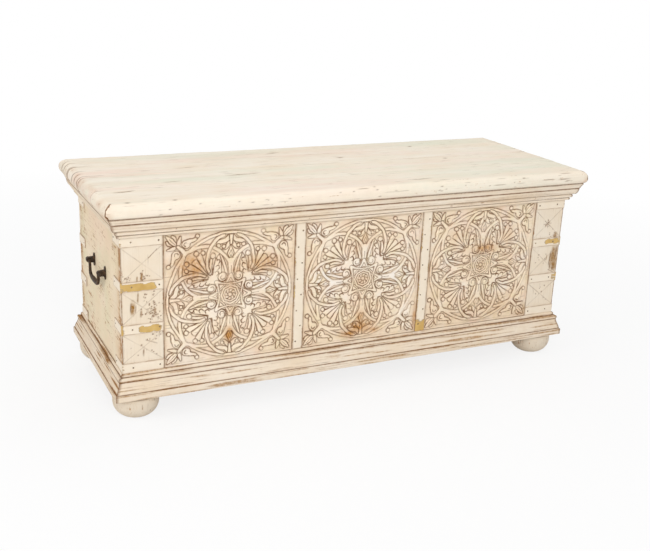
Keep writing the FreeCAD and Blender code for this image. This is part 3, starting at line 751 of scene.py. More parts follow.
def carving_brown(x, y, height, line, hollow, inside, seed):
    """Brown in the cut lines, partly painted shade, and round the edge of a carved field; painted shade in
    its tight hollows and sunk ground.
    """
    pitted_shade = np.clip(hollow / 2.2, 0, 1)
    wide = max(3, int(round(narrow_reach / carving_step)))
    tight_hollow_shade = np.clip((blurred(height, wide) - height - 0.5) / 1.2, 0, 1)
    held = 1.0 + 0.4 * drift(x, y, 15, seed + 7) + 0.3 * drift(x, y, 5, seed + 8)
    sunk = ease((-height - 1.8) / 0.8) * ease((np.hypot(x, y) - 105) / 30)
    # Painted shade from how far each place lies below its neighbours, added to the brown of the cut lines.
    dark = np.maximum(line * held, 0.24 * tight_hollow_shade) + 0.15 * pitted_shade + 0.05 * sunk
    recess = np.where(inside, np.clip(dark, 0, 1), 0.0)
    side_gap = panel_width / 2 - np.abs(x)
    edge_gap = panel_width / 2 - np.abs(y)
    joint = 0.9 + 0.4 * drift(x, y, 40, seed + 9)
    recess = np.maximum(recess, np.clip(joint, 0, 1) * ease((2.6 - side_gap) / 1.6))
    return np.maximum(recess, 0.9 * ease((1.5 - edge_gap) / 1.2)) * (edge_gap > -1)


def carved_panel(name, centre_x, low_x, high_x, seed, rubbed, coated):
    """Board with its carved field. Rubbed places show the wood, coated ones hold thick limewash."""
    centre_z = (panel_low + panel_high) / 2
    half = panel_width / 2
    count = int(round(panel_width / carving_step)) + 1
    field = np.linspace(-half, half, count)
    across = field + centre_x
    if low_x < across[0] - 0.5:
        across = np.insert(across, 0, low_x)
    if high_x > across[-1] + 0.5:
        across = np.append(across, high_x)
    up = np.concatenate([[floor_top], field + centre_z, [case_top]])
    x, z = np.meshgrid(across, up)
    local_x = x - centre_x
    local_y = z - centre_z
    inside = (np.abs(local_x) <= half) & (np.abs(local_y) <= half)
    height, line = carved(local_x, local_y, seed)
    height = np.where(inside, height, 0.0)
    piece = laid_grid(name + "_wood", np.stack([x, -half_depth - height, z], -1))
    hollow = blurred(height, max(2, int(round(hollow_reach / carving_step)))) - height
    recess = carving_brown(local_x, local_y, height, line, hollow, inside, seed)
    wear = np.clip(-hollow / 1.6, 0, 1) * 0.3
    fresh = soft_patches(local_x, local_y, coated) * np.clip((height + 1.8) / 0.8, 0, 1)
    close(piece, (0, wall, 0))
    mark(piece, recess=recess, wear=wear, stain=soft_patches(local_x, local_y, rubbed), fresh=fresh)
    smooth_by(piece, 80)
    finished(piece, name, carving_lime, board_wood, faces_inside)


def faces_inside(centre, normal):
    """Whether a face of a front board looks into the trunk."""
    return normal.y > 0.9 and centre.y > -half_depth + 10


def front_carving():
    """Three carved boards, each with its own rubbed and coated places."""
    middle = field_left + panel_width / 2
    seam_left = field_left + panel_width + panel_strap_width / 2
    seam_right = seam_left + panel_pitch
    right_end = half_length - stile_right_width
    carved_panel("carved_panel_left", middle, field_left, seam_left, 11,
                 [(-84, 68, 40, 38, 1.0), (73, 62, 52, 20, 0.8), (12, 54, 16, 10, 0.6), (2, 22, 30, 26, 0.5),
                  (-2, -90, 10, 17, 1.5), (2, -38, 12, 12, 0.5), (-110, 122, 40, 20, 0.25),
                  (-60, -112, 70, 26, 0.1), (60, -124, 40, 18, 0.12)],
                 [(125, 0, 18, 26, 0.5), (66, 22, 56, 20, 0.8), (-70, 20, 56, 18, 0.5),
                  (-26, -34, 18, 14, 0.3), (32, -38, 18, 14, 0.3), (84, -66, 20, 12, 0.4)])
    carved_panel("carved_panel_centre", middle + panel_pitch, seam_left, seam_right, 23,
                 [(-4, -115, 36, 17, 1.2), (-2, -90, 12, 15, 0.9), (-27, -128, 25, 9, 1.1),
                  (34, -126, 19, 8, 0.9), (1, 98, 9, 12, 0.45), (0, 0, 20, 20, 0.35),
                  (-18, 74, 10, 14, 0.35), (142, -112, 5, 34, 0.9)],
                 [(-46, 50, 20, 16, 0.6), (40, 46, 18, 14, 0.45), (-42, -38, 16, 14, 0.4),
                  (44, -40, 16, 14, 0.45), (112, -86, 16, 36, 0.4), (92, 50, 20, 20, 0.4),
                  (-84, 14, 46, 34, 0.9), (76, 0, 44, 30, 0.8), (-120, 120, 24, 24, 0.5),
                  (0, 36, 50, 30, 0.6)])
    carved_panel("carved_panel_right", middle + 2 * panel_pitch, seam_right, right_end, 37,
                 [(8, 42, 37, 12, 0.9), (70, 70, 24, 24, 0.35), (-76, 79, 24, 20, 0.3), (0, 0, 20, 20, 0.3),
                  (132, -132, 16, 16, 0.5), (-50, -112, 60, 26, 0.3), (54, -112, 60, 30, 0.4)],
                 [(52, -40, 18, 14, 0.45), (52, 52, 18, 12, 0.3), (-46, -44, 14, 12, 0.3)])


# Plain boards

def upright(x, y, up):
    """One upright column of points."""
    return np.stack([np.full(len(up), x), np.full(len(up), y), up], -1)[:, None, :]


def rebate_edge(corner_y, seed, up):
    """Edge of a rebated board beside its end board: heights across it, its brown joint line and its wear."""
    across = np.linspace(math.copysign(rebate_y, corner_y), corner_y, 9)[:-1]
    depth, height = np.meshgrid(np.abs(corner_y - across), up)
    seen = (height > panel_low) & (height < panel_high)
    joint = 0.8 * ease((depth - depth.max() + 2.0) / 1.6) * (0.7 + 0.6 * drift(height, depth, 24, seed))
    worn = 0.62 + 0.4 * drift(height, depth / 3, 30, seed + 1) + 0.2 * drift(height, depth, 8, seed + 2)
    return across, np.where(seen, joint, 0.0), np.where(seen, worn, 0.0)


def board_rows(low_z, high_z, step):
    """Heights of a board's rows: its foot, even ones over the height of the panels, and its top."""
    even = np.linspace(panel_low, panel_high, int((panel_high - panel_low) / step))
    return np.concatenate([[low_z], even, [high_z]])


def stile_cuts(x, z, seed, ticks, specks, scratches):
    """Cuts in a stile, as their depth, brown and gilt: crossed lines in each field, and marks of its own.
    Ticks are upright dashes, given by x, height, half length, half width and how gilt they are; specks are
    small chips, given by x, height, spread and count; scratches run between two points."""
    low_x = x.min()
    high_x = x.max()
    sink = 0.25 + 0.25 * drift(x, z, 30, seed)
    recess = np.zeros(x.shape)
    gilt = np.zeros(x.shape)
    for low, top in zip(strap_tops[1:], strap_tops):
        high = top - strap_width
        for start, end in ((low, high), (high, low)):
            fall = (end - start) / (high_x - low_x)
            off = np.abs(z - start - fall * (x - low_x)) / math.hypot(1, fall)
            line = np.where((z > low) & (z < high), np.clip(1 - off / 1.3, 0, 1), 0)
            line = line * (0.7 + 0.5 * drift(x, z, 14, seed + 3))
            sink = sink + 0.8 * line
            recess = np.maximum(recess, 0.5 * line)
    for tick_x, tick_z, length, width, gold in ticks:
        lean = tick_x + 0.06 * (z - tick_z)
        ragged = (z - tick_z) / length + 0.25 * drift(x, z, 5, seed + 6)
        dash = np.exp(-ragged ** 4 - ((x - lean) / width) ** 4)
        sink = sink + 0.7 * dash
        recess = np.maximum(recess, (1 - gold) * dash)
        gilt = np.maximum(gilt, gold * dash)
    rng = np.random.default_rng(seed)
    for speck_x, speck_z, spread, count in specks:
        for _ in range(count):
            at_x, at_z = rng.normal((speck_x, speck_z), spread)
            size_x, size_z = rng.uniform(0.9, 2.1, 2)
            chip = blob(x, z, at_x, at_z, size_x, size_z)
            sink = sink + 0.7 * chip
            recess = np.maximum(recess, np.clip(rng.uniform(0.9, 1.5) * chip - 0.15, 0, 1))
    for start, end, width in scratches:
        cut = ease(0.9 - stroke(x, z, [start, end], [width, 0.6 * width]) / 0.9)
        sink = sink + 0.4 * cut
        recess = np.maximum(recess, 0.7 * cut)
    return sink, recess, gilt


def stile(name, outer_x, inner_x, seed, thin, ticks, specks, scratches):
    """Plain stile, rebated for the end board, under a coat that is a little thin."""
    low_x, high_x = sorted((outer_x, inner_x))
    up = board_rows(floor_top, case_top, stile_step)
    x, z = np.meshgrid(np.linspace(outer_x, inner_x, int((high_x - low_x) / stile_step)), up)
    sink, recess, gilt = stile_cuts(x, z, seed, ticks, specks, scratches)
    inner = (x > low_x + 1) & (x < high_x - 1) & (z > panel_low) & (z < panel_high)
    side_gap = np.minimum(x - low_x, high_x - x)
    border = np.minimum(side_gap, np.minimum(z - panel_low, panel_high - z))
    seen = (z > panel_low - 1) & (z < panel_high + 1)
    recess = np.where(seen, np.maximum(recess, 0.8 * ease((2.6 - border) / 2.2)), 0.0)
    wear = 0.55 * ease((6 - side_gap) / 6) * (0.7 + 0.5 * drift(x, z, 25, seed + 5))
    front = np.stack([x, -half_depth + np.where(inner, sink, 0), z], -1)
    edge_y, joint, worn = rebate_edge(-half_depth, seed + 8, up)
    rear_y = wall - half_depth
    rebate_x = outer_x - math.copysign(wall, outer_x)
    rear = [upright(inner_x, rear_y, up), upright(rebate_x, rear_y, up), upright(rebate_x, -rebate_y, up)]
    side = [upright(outer_x, y, up) for y in edge_y]
    piece = laid_grid(name + "_wood", np.concatenate(rear + side + [front, upright(inner_x, rear_y, up)], 1))
    plain = np.zeros((len(up), len(rear)))
    stain = np.maximum(gilt, thin)
    layers = {"recess": (joint, recess), "wear": (worn, wear), "stain": (0.45 * worn, stain)}
    for layer, (beside, field) in layers.items():
        mark(piece, **{layer: np.concatenate([plain, beside, field, plain[:, :1]], 1)})
    capped(piece)
    smooth_by(piece, 60)
    finished(piece, name, stile_lime, board_wood, faces_inside)


def stiles():
    """Both stiles of the front, each with its own marks."""
    left_end = -half_length + stile_left_width
    right_start = half_length - stile_right_width
    tops = [top - strap_width for top in strap_tops]
    foot = strap_tops[1]
    stile("front_stile_left", -half_length, left_end, 51, 0.02,
          [(-503, foot + 8, 9, 2.4, 1.0), (-512, foot + 5, 5, 1.6, 0.8), (-511, tops[1] - 15, 10, 1.9, 0.6),
           (-522, tops[1] - 36, 14, 4.4, 1.1), (-526, tops[1] - 33, 9, 1.3, 0.2),
           (-516, tops[1] - 40, 8, 1.2, 0.3), (-505, tops[1] - 50, 8, 2.2, 0.6),
           (-476, tops[1] - 46, 6, 2.4, 0.7), (-501, tops[2] - 42, 8, 1.7, 0.3)],
          [(-495, foot + 7, 6, 16), (-530, foot + 5, 6, 12), (-482, tops[1] - 50, 10, 64),
           (-488, tops[1] - 25, 14, 18), (-474, tops[2] - 9, 9, 14), (-490, tops[2] - 30, 16, 10)],
          [((-488, tops[0] - 26), (-470, tops[0] - 8), 1.0),
           ((-496, tops[2] - 16), (-472, tops[2] - 26), 0.8)])
    stile("front_stile_right", half_length, right_start, 57, 0.03,
          [(530, foot + 4, 8, 5.0, 0.9), (533, tops[1] - 30, 31, 9.0, 1.0),
           (537, tops[1] - 46, 22, 8.0, 1.0), (526, tops[1] - 30, 14, 4.0, 0.9),
           (522, tops[1] - 33, 18, 1.8, 0.1),
           (525, tops[1] - 52, 9, 1.6, 0.15), (540, tops[1] - 18, 15, 2.4, 0.3),
           (534, tops[1] - 58, 7, 2.0, 0.2), (512, tops[1] - 30, 6, 1.6, 0.6)],
          [(503, tops[0] - 37, 6, 6), (520, foot + 9, 8, 8), (500, tops[1] - 40, 14, 10),
           (505, tops[2] - 30, 16, 8)],
          [((495, tops[0] - 30), (511, tops[0] - 44), 1.1), ((510, tops[0] - 30), (497, tops[0] - 45), 1.0),
           ((503, tops[0] - 26), (504, tops[0] - 48), 0.9), ((492, tops[0] - 38), (514, tops[0] - 36), 0.9),
           ((521, tops[1] - 62), (536, tops[1] - 70), 1.2)])


def end_board(name, sign, seed):
    """End wall, gently uneven, with dents and scratches down to the wood and brown toward its corners."""
    low, high = span_of(name)
    along = np.linspace(low[1], high[1], int((high[1] - low[1]) / board_step) + 1)
    y, z = np.meshgrid(along, board_rows(low[2], high[2], board_step))
    if sign < 0:
        y = y[:, ::-1]
    inner = (y > low[1] + 1) & (y < high[1] - 1) & (z > panel_low) & (z < panel_high)
    sink = 0.4 + 0.4 * drift(y, z, 70, seed) + 0.15 * drift(y, z, 16, seed + 1)
    x = sign * (half_length - np.where(inner, sink, 0))
    piece = laid_grid(name + "_wood", np.stack([x, y, z], -1))
    close(piece, (-sign * wall, 0, 0))
    border = np.minimum(z - panel_low, panel_high - z)
    side_gap = np.minimum(y - low[1], high[1] - y)
    recess = 0.8 * ease((4 - border) / 4) * (border > -1)
    wear = 0.22 + 0.30 * drift(y, z, 45, seed + 2) + 0.35 * ease((10 - side_gap) / 10)
    wear = wear * (border > -1)
    corner = np.exp(-(y - low[1]) / 24) + 0.5 * np.exp(-(high[1] - y) / 16)
    stain = 0.8 * corner * (0.75 + 0.45 * drift(z, y / 3, 38, seed + 3))
    mark(piece, recess=recess, wear=wear, stain=stain)
    smooth_by(piece, 60)
    finished(piece, name, end_lime, cross_wood,
             lambda centre, normal: abs(centre.x) < half_length - wall / 2 and abs(normal.x) > 0.9)


def back_board(name, low_z, high_z, seam, seed):
    """Back board, rebated for the end boards, with an eased seam, scuffs and brown toward its borders."""
    across = np.linspace(-half_length, half_length, int(2 * half_length / back_step) + 1)
    near_seam = seam + np.array([-2.6, -1.4, -0.6, 0.0, 0.6, 1.4, 2.6])
    up = np.union1d(np.linspace(low_z, high_z, int((high_z - low_z) / board_step)), near_seam)
    up = up[(up >= low_z) & (up <= high_z)]
    x, z = np.meshgrid(across, up)
    seam_gap = np.abs(z - seam)
    border = np.minimum(z - panel_low, panel_high - z)
    inner = (np.abs(x) < half_length - 1) & (border > 0)
    sink = 0.35 + 0.3 * drift(x / 3, z, 40, seed) + 0.15 * drift(x / 2, z, 12, seed + 1)
    sink = sink + ease(1 - seam_gap / 2.2)
    recess = 0.8 * ease((4 - border) / 4)
    recess = np.maximum(recess, ease((1.7 - seam_gap) / 1.5) * (0.7 + 0.5 * drift(x, z, 60, seed + 2)))
    side_gap = half_length - np.abs(x)
    wear = 0.24 + 0.3 * drift(x / 2, z, 45, seed + 3) + 0.3 * ease((12 - side_gap) / 12)
    stain = 0.5 * np.exp(-side_gap / 26) + 0.35 * np.exp(-np.abs(border) / 14)
    stain = stain * (0.7 + 0.5 * drift(x, z / 3, 45, seed + 4))
    seen = (z > panel_low - 1) & (z < panel_high + 1)
    edge_y, joint, worn = rebate_edge(half_depth, seed + 5, up)
    rear_y = half_depth - wall
    rebate_x = half_length - wall
    start = [upright(-rebate_x, rear_y, up), upright(-rebate_x, rebate_y, up)]
    start += [upright(-half_length, y, up) for y in edge_y]
    outer = np.stack([x, half_depth - np.where(inner, sink, 0), z], -1)
    end = [upright(half_length, y, up) for y in edge_y[::-1]]
    end += [upright(rebate_x, rebate_y, up), upright(rebate_x, rear_y, up), upright(-rebate_x, rear_y, up)]
    piece = laid_grid(name + "_wood", np.concatenate(start + [outer] + end, 1))
    plain = np.zeros((len(up), 3))
    layers = {"recess": (joint, recess), "wear": (worn, wear), "stain": (0 * joint, stain)}
    for layer, (beside, field) in layers.items():
        field = np.where(seen, field, 0.0)
        mark(piece, **{layer: np.concatenate([plain[:, :2], beside, field, beside[:, ::-1], plain], 1)})
    capped(piece)
    if high_z >= case_top:
        hinge_cuts(piece)
    smooth_by(piece, 60)
    finished(piece, name, back_lime, board_wood, lambda centre, normal: normal.y < -0.5)


def plain_boards():
    """End boards, back boards, floor planks and lid battens."""
    end_board("end_board_left", -1, 61)
    end_board("end_board_right", 1, 67)
    back_seam = span_of("back_board_upper")[0][2]
    back_board("back_board_lower", floor_top, back_seam, back_seam, 71)
    back_board("back_board_upper", back_seam, case_top, back_seam, 73)
    for name in ("bottom_plank_front", "bottom_plank_middle", "bottom_plank_back"):
        eased_copy(name, 0.6, board_wood)
    for name in ("lid_batten_left", "lid_batten_right"):
        eased_copy(name, 2.0, cross_wood)


# Mouldings

def arc(start, middle, end, count=10):
    """Points of the circle through three points, without the first."""
    ax, ay = start
    bx, by = middle
    cx, cy = end
    turn = 2 * (ax * (by - cy) + bx * (cy - ay) + cx * (ay - by))
    a, b, c = [px * px + py * py for px, py in (start, middle, end)]
    ox = (a * (by - cy) + b * (cy - ay) + c * (ay - by)) / turn
    oy = (a * (cx - bx) + b * (ax - cx) + c * (bx - ax)) / turn
    first = math.atan2(ay - oy, ax - ox)
    via = math.atan2(by - oy, bx - ox)
    last = math.atan2(cy - oy, cx - ox)
    full = 2 * math.pi
    sweep = (last - first) % full
    if (via - first) % full > sweep:
        sweep -= full
    radius = math.hypot(ax - ox, ay - oy)
    turns = [first + sweep * k / count for k in range(1, count + 1)]
    return [(ox + radius * math.cos(t), oy + radius * math.sin(t)) for t in turns]


def eased_outline(corners, step=0.9, passes=2):
    """Outline with even points and corners worn round."""
    p = np.array(corners, float)
    run = np.concatenate([[0], np.cumsum(np.hypot(*np.diff(p, axis=0).T))])
    even = np.linspace(0, run[-1], int(run[-1] / step) + 1)
    line = np.stack([np.interp(even, run, p[:, 0]), np.interp(even, run, p[:, 1])], 1)
    for _ in range(passes):
        line[1:-1] = (line[:-2] + 2 * line[1:-1] + line[2:]) / 4
    return line


def base_outline():
    """Base moulding from its foot up, as reach past the case and height: a band, a wave and two beads."""
    band_top = base_low + base_band
    bead_two = panel_low - base_bead
    bead_one = panel_low - 2 * base_bead
    middle = (band_top + bead_one) / 2
    quarter = (bead_one - band_top) / 4
    waist = 14.25
    line = [(0, base_low), (20.5, base_low), (20.5, band_top), (18.0, band_top)]
    line += arc((18.0, band_top), (16.75, middle - quarter), (waist, middle))
    line += arc((waist, middle), (11.75, middle + quarter), (10.5, bead_one))
    line += arc((10.5, bead_one), (12.0, (bead_one + bead_two) / 2), (10.4, bead_two))
    line += [(3.4, bead_two)]
    line += arc((3.4, bead_two), (5.0, (bead_two + panel_low) / 2), (3.4, panel_low))
    return eased_outline(line + [(0, panel_low)])


def rim_outline():
    """Rim moulding from its foot up: two beads, the upper one further out."""
    step = panel_high + rim_bead
    line = [(0, panel_high), (6.4, panel_high)]
    line += arc((6.4, panel_high), (9.0, (panel_high + step) / 2), (6.4, step))
    line += [(10.4, step)]
    line += arc((10.4, step), (13.0, (step + case_top) / 2), (10.4, case_top))
    return eased_outline(line + [(0, case_top)])


def lid_outline():
    """Lid moulding from its foot up: a swell, a hollow and a fillet."""
    swell_top = lid_low + lid_swell
    fillet_low = slab_low - 4.0
    line = [(-wall, lid_low), (17.5, lid_low)]
    line += arc((17.5, lid_low), (21.6, (lid_low + swell_top) / 2), (22.5, swell_top))
    line += [(23.3, swell_top)]
    line += arc((23.3, swell_top), (25.05, (swell_top + fillet_low) / 2), (27.6, fillet_low))
    line += [(28.4, fillet_low), (28.4, slab_low), (-wall, slab_low)]
    return eased_outline(line)


SIDES = {
    "front": ((-half_length, -half_depth), (1, 0), (0, -1), 2 * half_length),
    "back": ((half_length, half_depth), (-1, 0), (0, 1), 2 * half_length),
    "left": ((-half_length, half_depth), (0, -1), (-1, 0), 2 * half_depth),
    "right": ((half_length, -half_depth), (0, 1), (1, 0), 2 * half_depth),
}


def nicked(waver, distance, j, proud, length, seed):
    """Waver of a moulding with nicks on its proud edges, and the wear of the nicks."""
    rng = np.random.default_rng(seed)
    wear = np.zeros(waver.shape)
    for _ in range(int(length / nick_pitch)):
        index = rng.choice(proud)
        at = rng.uniform(20, length - 20)
        size = rng.uniform(2, 6)
        depth = rng.uniform(0.3, 0.9)
        pit = blob(distance, j, at, index, size, 2.2)
        waver = waver - depth * pit
        wear = np.maximum(wear, pit)
    return waver, wear


def moulding(family, side, outline, quirks, seed, wiped_share):
    """Mitred length of moulding with a planed waver, nicks on its edges, brown in its quirks and a share of
    brown wiped along it."""
    corner, along, outward, length = SIDES[side]
    out = outline[:, 0]
    up = outline[:, 1]
    tangent = np.gradient(outline, axis=0)
    tangent /= np.maximum(np.hypot(*tangent.T), 1e-9)[:, None]
    normal = np.stack([tangent[:, 1], -tangent[:, 0]], 1)
    kernel = np.exp(-(np.arange(-6, 7) / 3.0) ** 2)
    kernel /= kernel.sum()
    soft = np.stack([np.convolve(np.pad(outline[:, k], 6, mode="edge"), kernel, "valid") for k in (0, 1)], 1)
    hollow = np.sum((soft - outline) * normal, 1)
    runs = np.linspace(0, 1, int(length / moulding_step) + 1)
    s, j = np.meshgrid(runs, np.arange(len(out)))
    o = out[j]
    distance = -o + s * (length + 2 * o)
    end_gap = np.minimum(s, 1 - s) * length
    waver = 0.22 * drift(distance, up[j] * 4, 70, seed) + 0.12 * drift(distance, up[j] * 3, 18, seed + 1)
    proud = np.flatnonzero((hollow < -0.25) & (out > 1))
    waver, nick_wear = nicked(waver * ease(end_gap / 15), distance, j, proud, length, seed + 5)
    visible = ((o > 0.5) & (j > 0) & (j < len(out) - 1)).astype(float)
    waver = waver * visible
    place_out = o + waver * normal[j, 0]
    place_up = up[j] + waver * normal[j, 1]
    x = corner[0] + along[0] * distance + outward[0] * place_out
    y = corner[1] + along[1] * distance + outward[1] * place_out
    recess = np.zeros(s.shape)
    quirk_reach = 1.5 if family == "base" else 1.8
    for quirk_out, quirk_up in quirks:
        gap = np.hypot(out - quirk_out, up - quirk_up)[j]
        strong = 1.2 + 0.5 * drift(distance, 0 * o + quirk_up, 38, seed + 7)
        recess = np.maximum(recess, np.clip(strong, 0, 1) * ease(1.5 - gap / quirk_reach))
    recess = np.maximum(recess, 0.9 * ease((2.0 - end_gap) / 1.4))
    wear = np.clip(-hollow[j] / 0.9, 0, 1) * (0.25 + 0.3 * drift(distance, up[j], 60, seed + 8))
    wear = np.maximum(wear, 0.7 * nick_wear)
    wiped = drift(distance, up[j] * 45, 120, seed + 9) + 0.6 * drift(distance, up[j] * 16, 40, seed + 10)
    stain = wiped_share * (0.14 + ease((wiped - 0.05) / 0.8)) * visible
    points = np.stack([x, y, place_up], -1)
    piece = laid_grid("%s_moulding_%s_wood" % (family, side), np.concatenate([points, points[:1]]))
    recess, wear, stain = [np.concatenate([field, field[:1]]) for field in (recess, wear, stain)]
    mark(piece, recess=recess, wear=wear, stain=stain)
    capped(piece)
    smooth_by(piece, 45)
    return piece


def cut_block(piece, spans):
    """Cuts a block, given by its spans along x, y and z, out of a piece."""
    bpy.ops.object.select_all(action="DESELECT")
    bpy.ops.mesh.primitive_cube_add(size=1.0, location=[(low + high) / 2 * MM for low, high in spans])
    cutter = bpy.context.object
    cutter.scale = [(high - low) * MM for low, high in spans]
    modified(piece, "BOOLEAN", operation="DIFFERENCE", object=cutter)
    bpy.data.objects.remove(cutter)


def hinge_cuts(piece):
    """Cuts the notches of the hinge barrels and the seats of their leaves in a piece at the back."""
    axis_y = half_depth + hinge_axis_out
    axis_z = (case_top + lid_low) / 2
    past_edge = 4.0
    far_y = half_depth + lid_overhang + past_edge
    for centre in (-hinge_spacing / 2, hinge_spacing / 2):
        cut_block(piece, ((centre - hinge_notch_half, centre + hinge_notch_half),
                          (axis_y - hinge_notch_play, far_y),
                          (axis_z - hinge_notch_play, axis_z + hinge_notch_play)))
        cut_block(piece, ((centre - hinge_leaf_half, centre + hinge_leaf_half), (axis_y - hinge_leaf, far_y),
                          (case_top - hinge_leaf_thickness, lid_low + hinge_leaf_thickness)))


def mouldings():
    """Base, rim and lid mouldings on all four sides, with the places of their quirks."""
    inner_lid = {"front": lambda c, n: n.y > 0.9, "back": lambda c, n: n.y < -0.9,
                 "left": lambda c, n: n.x > 0.9, "right": lambda c, n: n.x < -0.9}
    base_quirks = ((18.0, base_low + base_band), (10.5, panel_low - 2 * base_bead),
                   (4.0, panel_low - base_bead), (0, panel_low))
    rim_quirks = ((0, panel_high), (7.0, panel_high + rim_bead), (9.0, case_top))
    lid_quirks = ((17.5, lid_low), (23.0, lid_low + lid_swell), (28.4, slab_low))
    families = (("base", base_outline(), base_quirks), ("rim", rim_outline(), rim_quirks),
                ("lid", lid_outline(), lid_quirks))
    for number, (family, outline, quirks) in enumerate(families):
        for turn, side in enumerate(SIDES):
            across_end = side in ("left", "right")
            wiped_share = 0.3 if family != "base" else 1.5 if across_end else 0.8
            piece = moulding(family, side, outline, quirks, 100 + 40 * number + 9 * turn, wiped_share)
            if side == "back" and family != "base":
                hinge_cuts(piece)
            lime = return_lime if across_end else run_lime
            node = "%s_moulding_%s" % (family, side)
            if family == "lid":
                wood = cross_wood if across_end else board_wood
                finished(piece, node, lime, wood, inner_lid[side])
            else:
                finished(piece, node, lime)


# Lid planks

def nose_outline():
    """Lid edge from its top arris round the nose to its foot, as reach past the case and height."""
    nose = slab_low + lid_nose_rise
    line = [(22.0, lid_top)]
    line += arc((22.0, lid_top), (32.6, nose + 0.64 * (lid_top - nose)), (lid_overhang, nose), count=16)
    line += arc((lid_overhang, nose), (34.6, slab_low + 4.8), (29.0, slab_low))
    return eased_outline(line, nose_step, passes=1)


def plank_columns(reach, step):
    """Columns of a plank: place on the nose's outline, side, and x for those on the flat."""
    end_run = 45.0
    end_columns = 28
    last = len(reach) - 1
    shoulder = half_length + reach[0]
    near_end = np.linspace(-shoulder, -shoulder + end_run, end_columns)[1:]
    far_end = -near_end[::-1]
    middle = np.linspace(near_end[-1], far_end[0], int((far_end[0] - near_end[-1]) / step))[1:-1]
    flat = np.concatenate([near_end, middle, far_end])
    ring = np.concatenate([np.arange(last, -1, -1), np.zeros(len(flat), int), np.arange(0, last + 1)])
    sign = np.concatenate([-np.ones(last + 1), np.zeros(len(flat)), np.ones(last + 1)])
    return ring, sign, np.concatenate([np.zeros(last + 1), flat, np.zeros(last + 1)])


def plank_rows(reach, low_y, high_y, nose_low, nose_high):
    """Rows of a plank: place on the nose's outline, side, y for those on the flat, and drop at a seam."""
    last = len(reach) - 1
    seam_drop = [0.0, 0.15, 0.6, 1.6, lid_top - slab_low]
    seam_in = [2.2, 1.0, 0.3, 0.0, 0.0]
    start = -half_depth - reach[0] if nose_low else low_y + seam_in[0]
    end = half_depth + reach[0] if nose_high else high_y - seam_in[0]
    before = [(k, -1, 0.0, 0.0) for k in range(last, 0, -1)]
    after = [(k, 1, 0.0, 0.0) for k in range(1, last + 1)]
    if not nose_low:
        before = [(0, 0, low_y + gap, drop) for gap, drop in zip(seam_in[:0:-1], seam_drop[:0:-1])]
    if not nose_high:
        after = [(0, 0, high_y - gap, drop) for gap, drop in zip(seam_in[1:], seam_drop[1:])]
    flat = np.linspace(start, end, int((end - start) / plank_row_step))
    return before + [(0, 0, y, 0.0) for y in flat] + after


def plank_points(reach, height, rows, columns):
    """Points of a plank, with the corners of the lid rounded."""
    last = len(reach) - 1
    ring_x, sign_x, column_x = columns
    points = np.zeros((len(rows), len(ring_x), 3))
    for i, (ring_y, sign_y, y, drop) in enumerate(rows):
        ring = np.maximum(ring_x, ring_y)
        over = reach[ring] - reach[0]
        past_x = reach[0] + over * ring_x / np.maximum(ring, 1)
        past_y = reach[0] + over * ring_y / np.maximum(ring, 1)
        turn_x = past_x - reach[ring] + lid_corner_round
        turn_y = past_y - reach[ring] + lid_corner_round
        rounded = (sign_y != 0) & (sign_x != 0) & (turn_x > 0) & (turn_y > 0)
        inward = np.where(rounded, 1 - lid_corner_round / np.maximum(np.hypot(turn_x, turn_y), 0.1), 0.0)
        past_x = past_x - turn_x * inward
        past_y = past_y - turn_y * inward
        points[i, :, 0] = np.where(sign_x != 0, sign_x * (half_length + past_x), column_x)
        points[i, :, 1] = sign_y * (half_depth + past_y) if sign_y else y
        points[i, :, 2] = height[ring]
        if drop:
            points[i, :, 2] = np.maximum(height[ring] - drop, slab_low)
        if drop > 2:
            foot_x = half_length + reach[last]
            points[i, :, 2] = slab_low
            points[i, :, 0] = np.clip(points[i, :, 0], -foot_x, foot_x)
    return points


def plank_dips(x, y, edge_gap, seed, knots, cracks):
    """How far a plank's top dips, and the brown in its dips. Knots are given by x, y and size, cracks by x,
    y, half length and width."""
    dip = 0.35 * drift(x / 6, y, 22, seed) + 0.25 * drift(x / 3, y, 9, seed + 1)
    dip += 0.9 * ease(1 - edge_gap / 30) * (0.5 + 0.5 * drift(x, y, 26, seed + 2))
    recess = np.zeros(len(x))
    for knot_x, knot_y, size in knots:
        pit = blob(x, y, knot_x, knot_y, 1.7 * size, size)
        dip += 1.0 * pit
        recess = np.maximum(recess, 1.1 * pit)
    for crack_x, crack_y, length, width in cracks:
        along = np.clip((np.abs(x - crack_x)) / length, 0, 1)
        line = crack_y + 1.5 * np.sin((x - crack_x) / 14.0)
        pit = (1 - along) * np.exp(-((y - line) / width) ** 2)
        dip += 1.6 * pit
        recess = np.maximum(recess, np.clip(1.6 * pit, 0, 1))
    return dip, recess


def seam_brown(x, y, seams, seed):
    """Brown along a plank's seams, wider and darker at the ends of the lid, most of all toward the back."""
    seam_gap = np.full(len(x), 99.0)
    for seam in seams:
        seam_gap = np.minimum(seam_gap, np.abs(y - seam))
    at_end = ease((np.abs(x) - half_length + 15) / 45) * (0.35 + 0.65 * ease((y + 70) / 120))
    line = 0.25 + 0.8 * at_end + 0.35 * drift(x, y, 50, seed)
    return np.clip(line, 0, 1) * ease((1.6 + 0.8 * at_end - seam_gap) / 1.4)


def corner_split(x, y, z, past_x, past_y, seed):
    """Jagged split down the nose at each corner of the lid, strongest at the front left."""
    jag = 3.0 * drift(x, z, 8, seed + 6) + 2.0 * drift(x, z, 3.5, seed + 9)
    mitre = np.abs(past_x - past_y + jag) / 1.4
    split = ease((2.6 - mitre) / 1.6) * ease((np.minimum(past_x, past_y) - 17) / 5)
    return split * np.where((x < 0) & (y < 0), 1.3, 0.7)


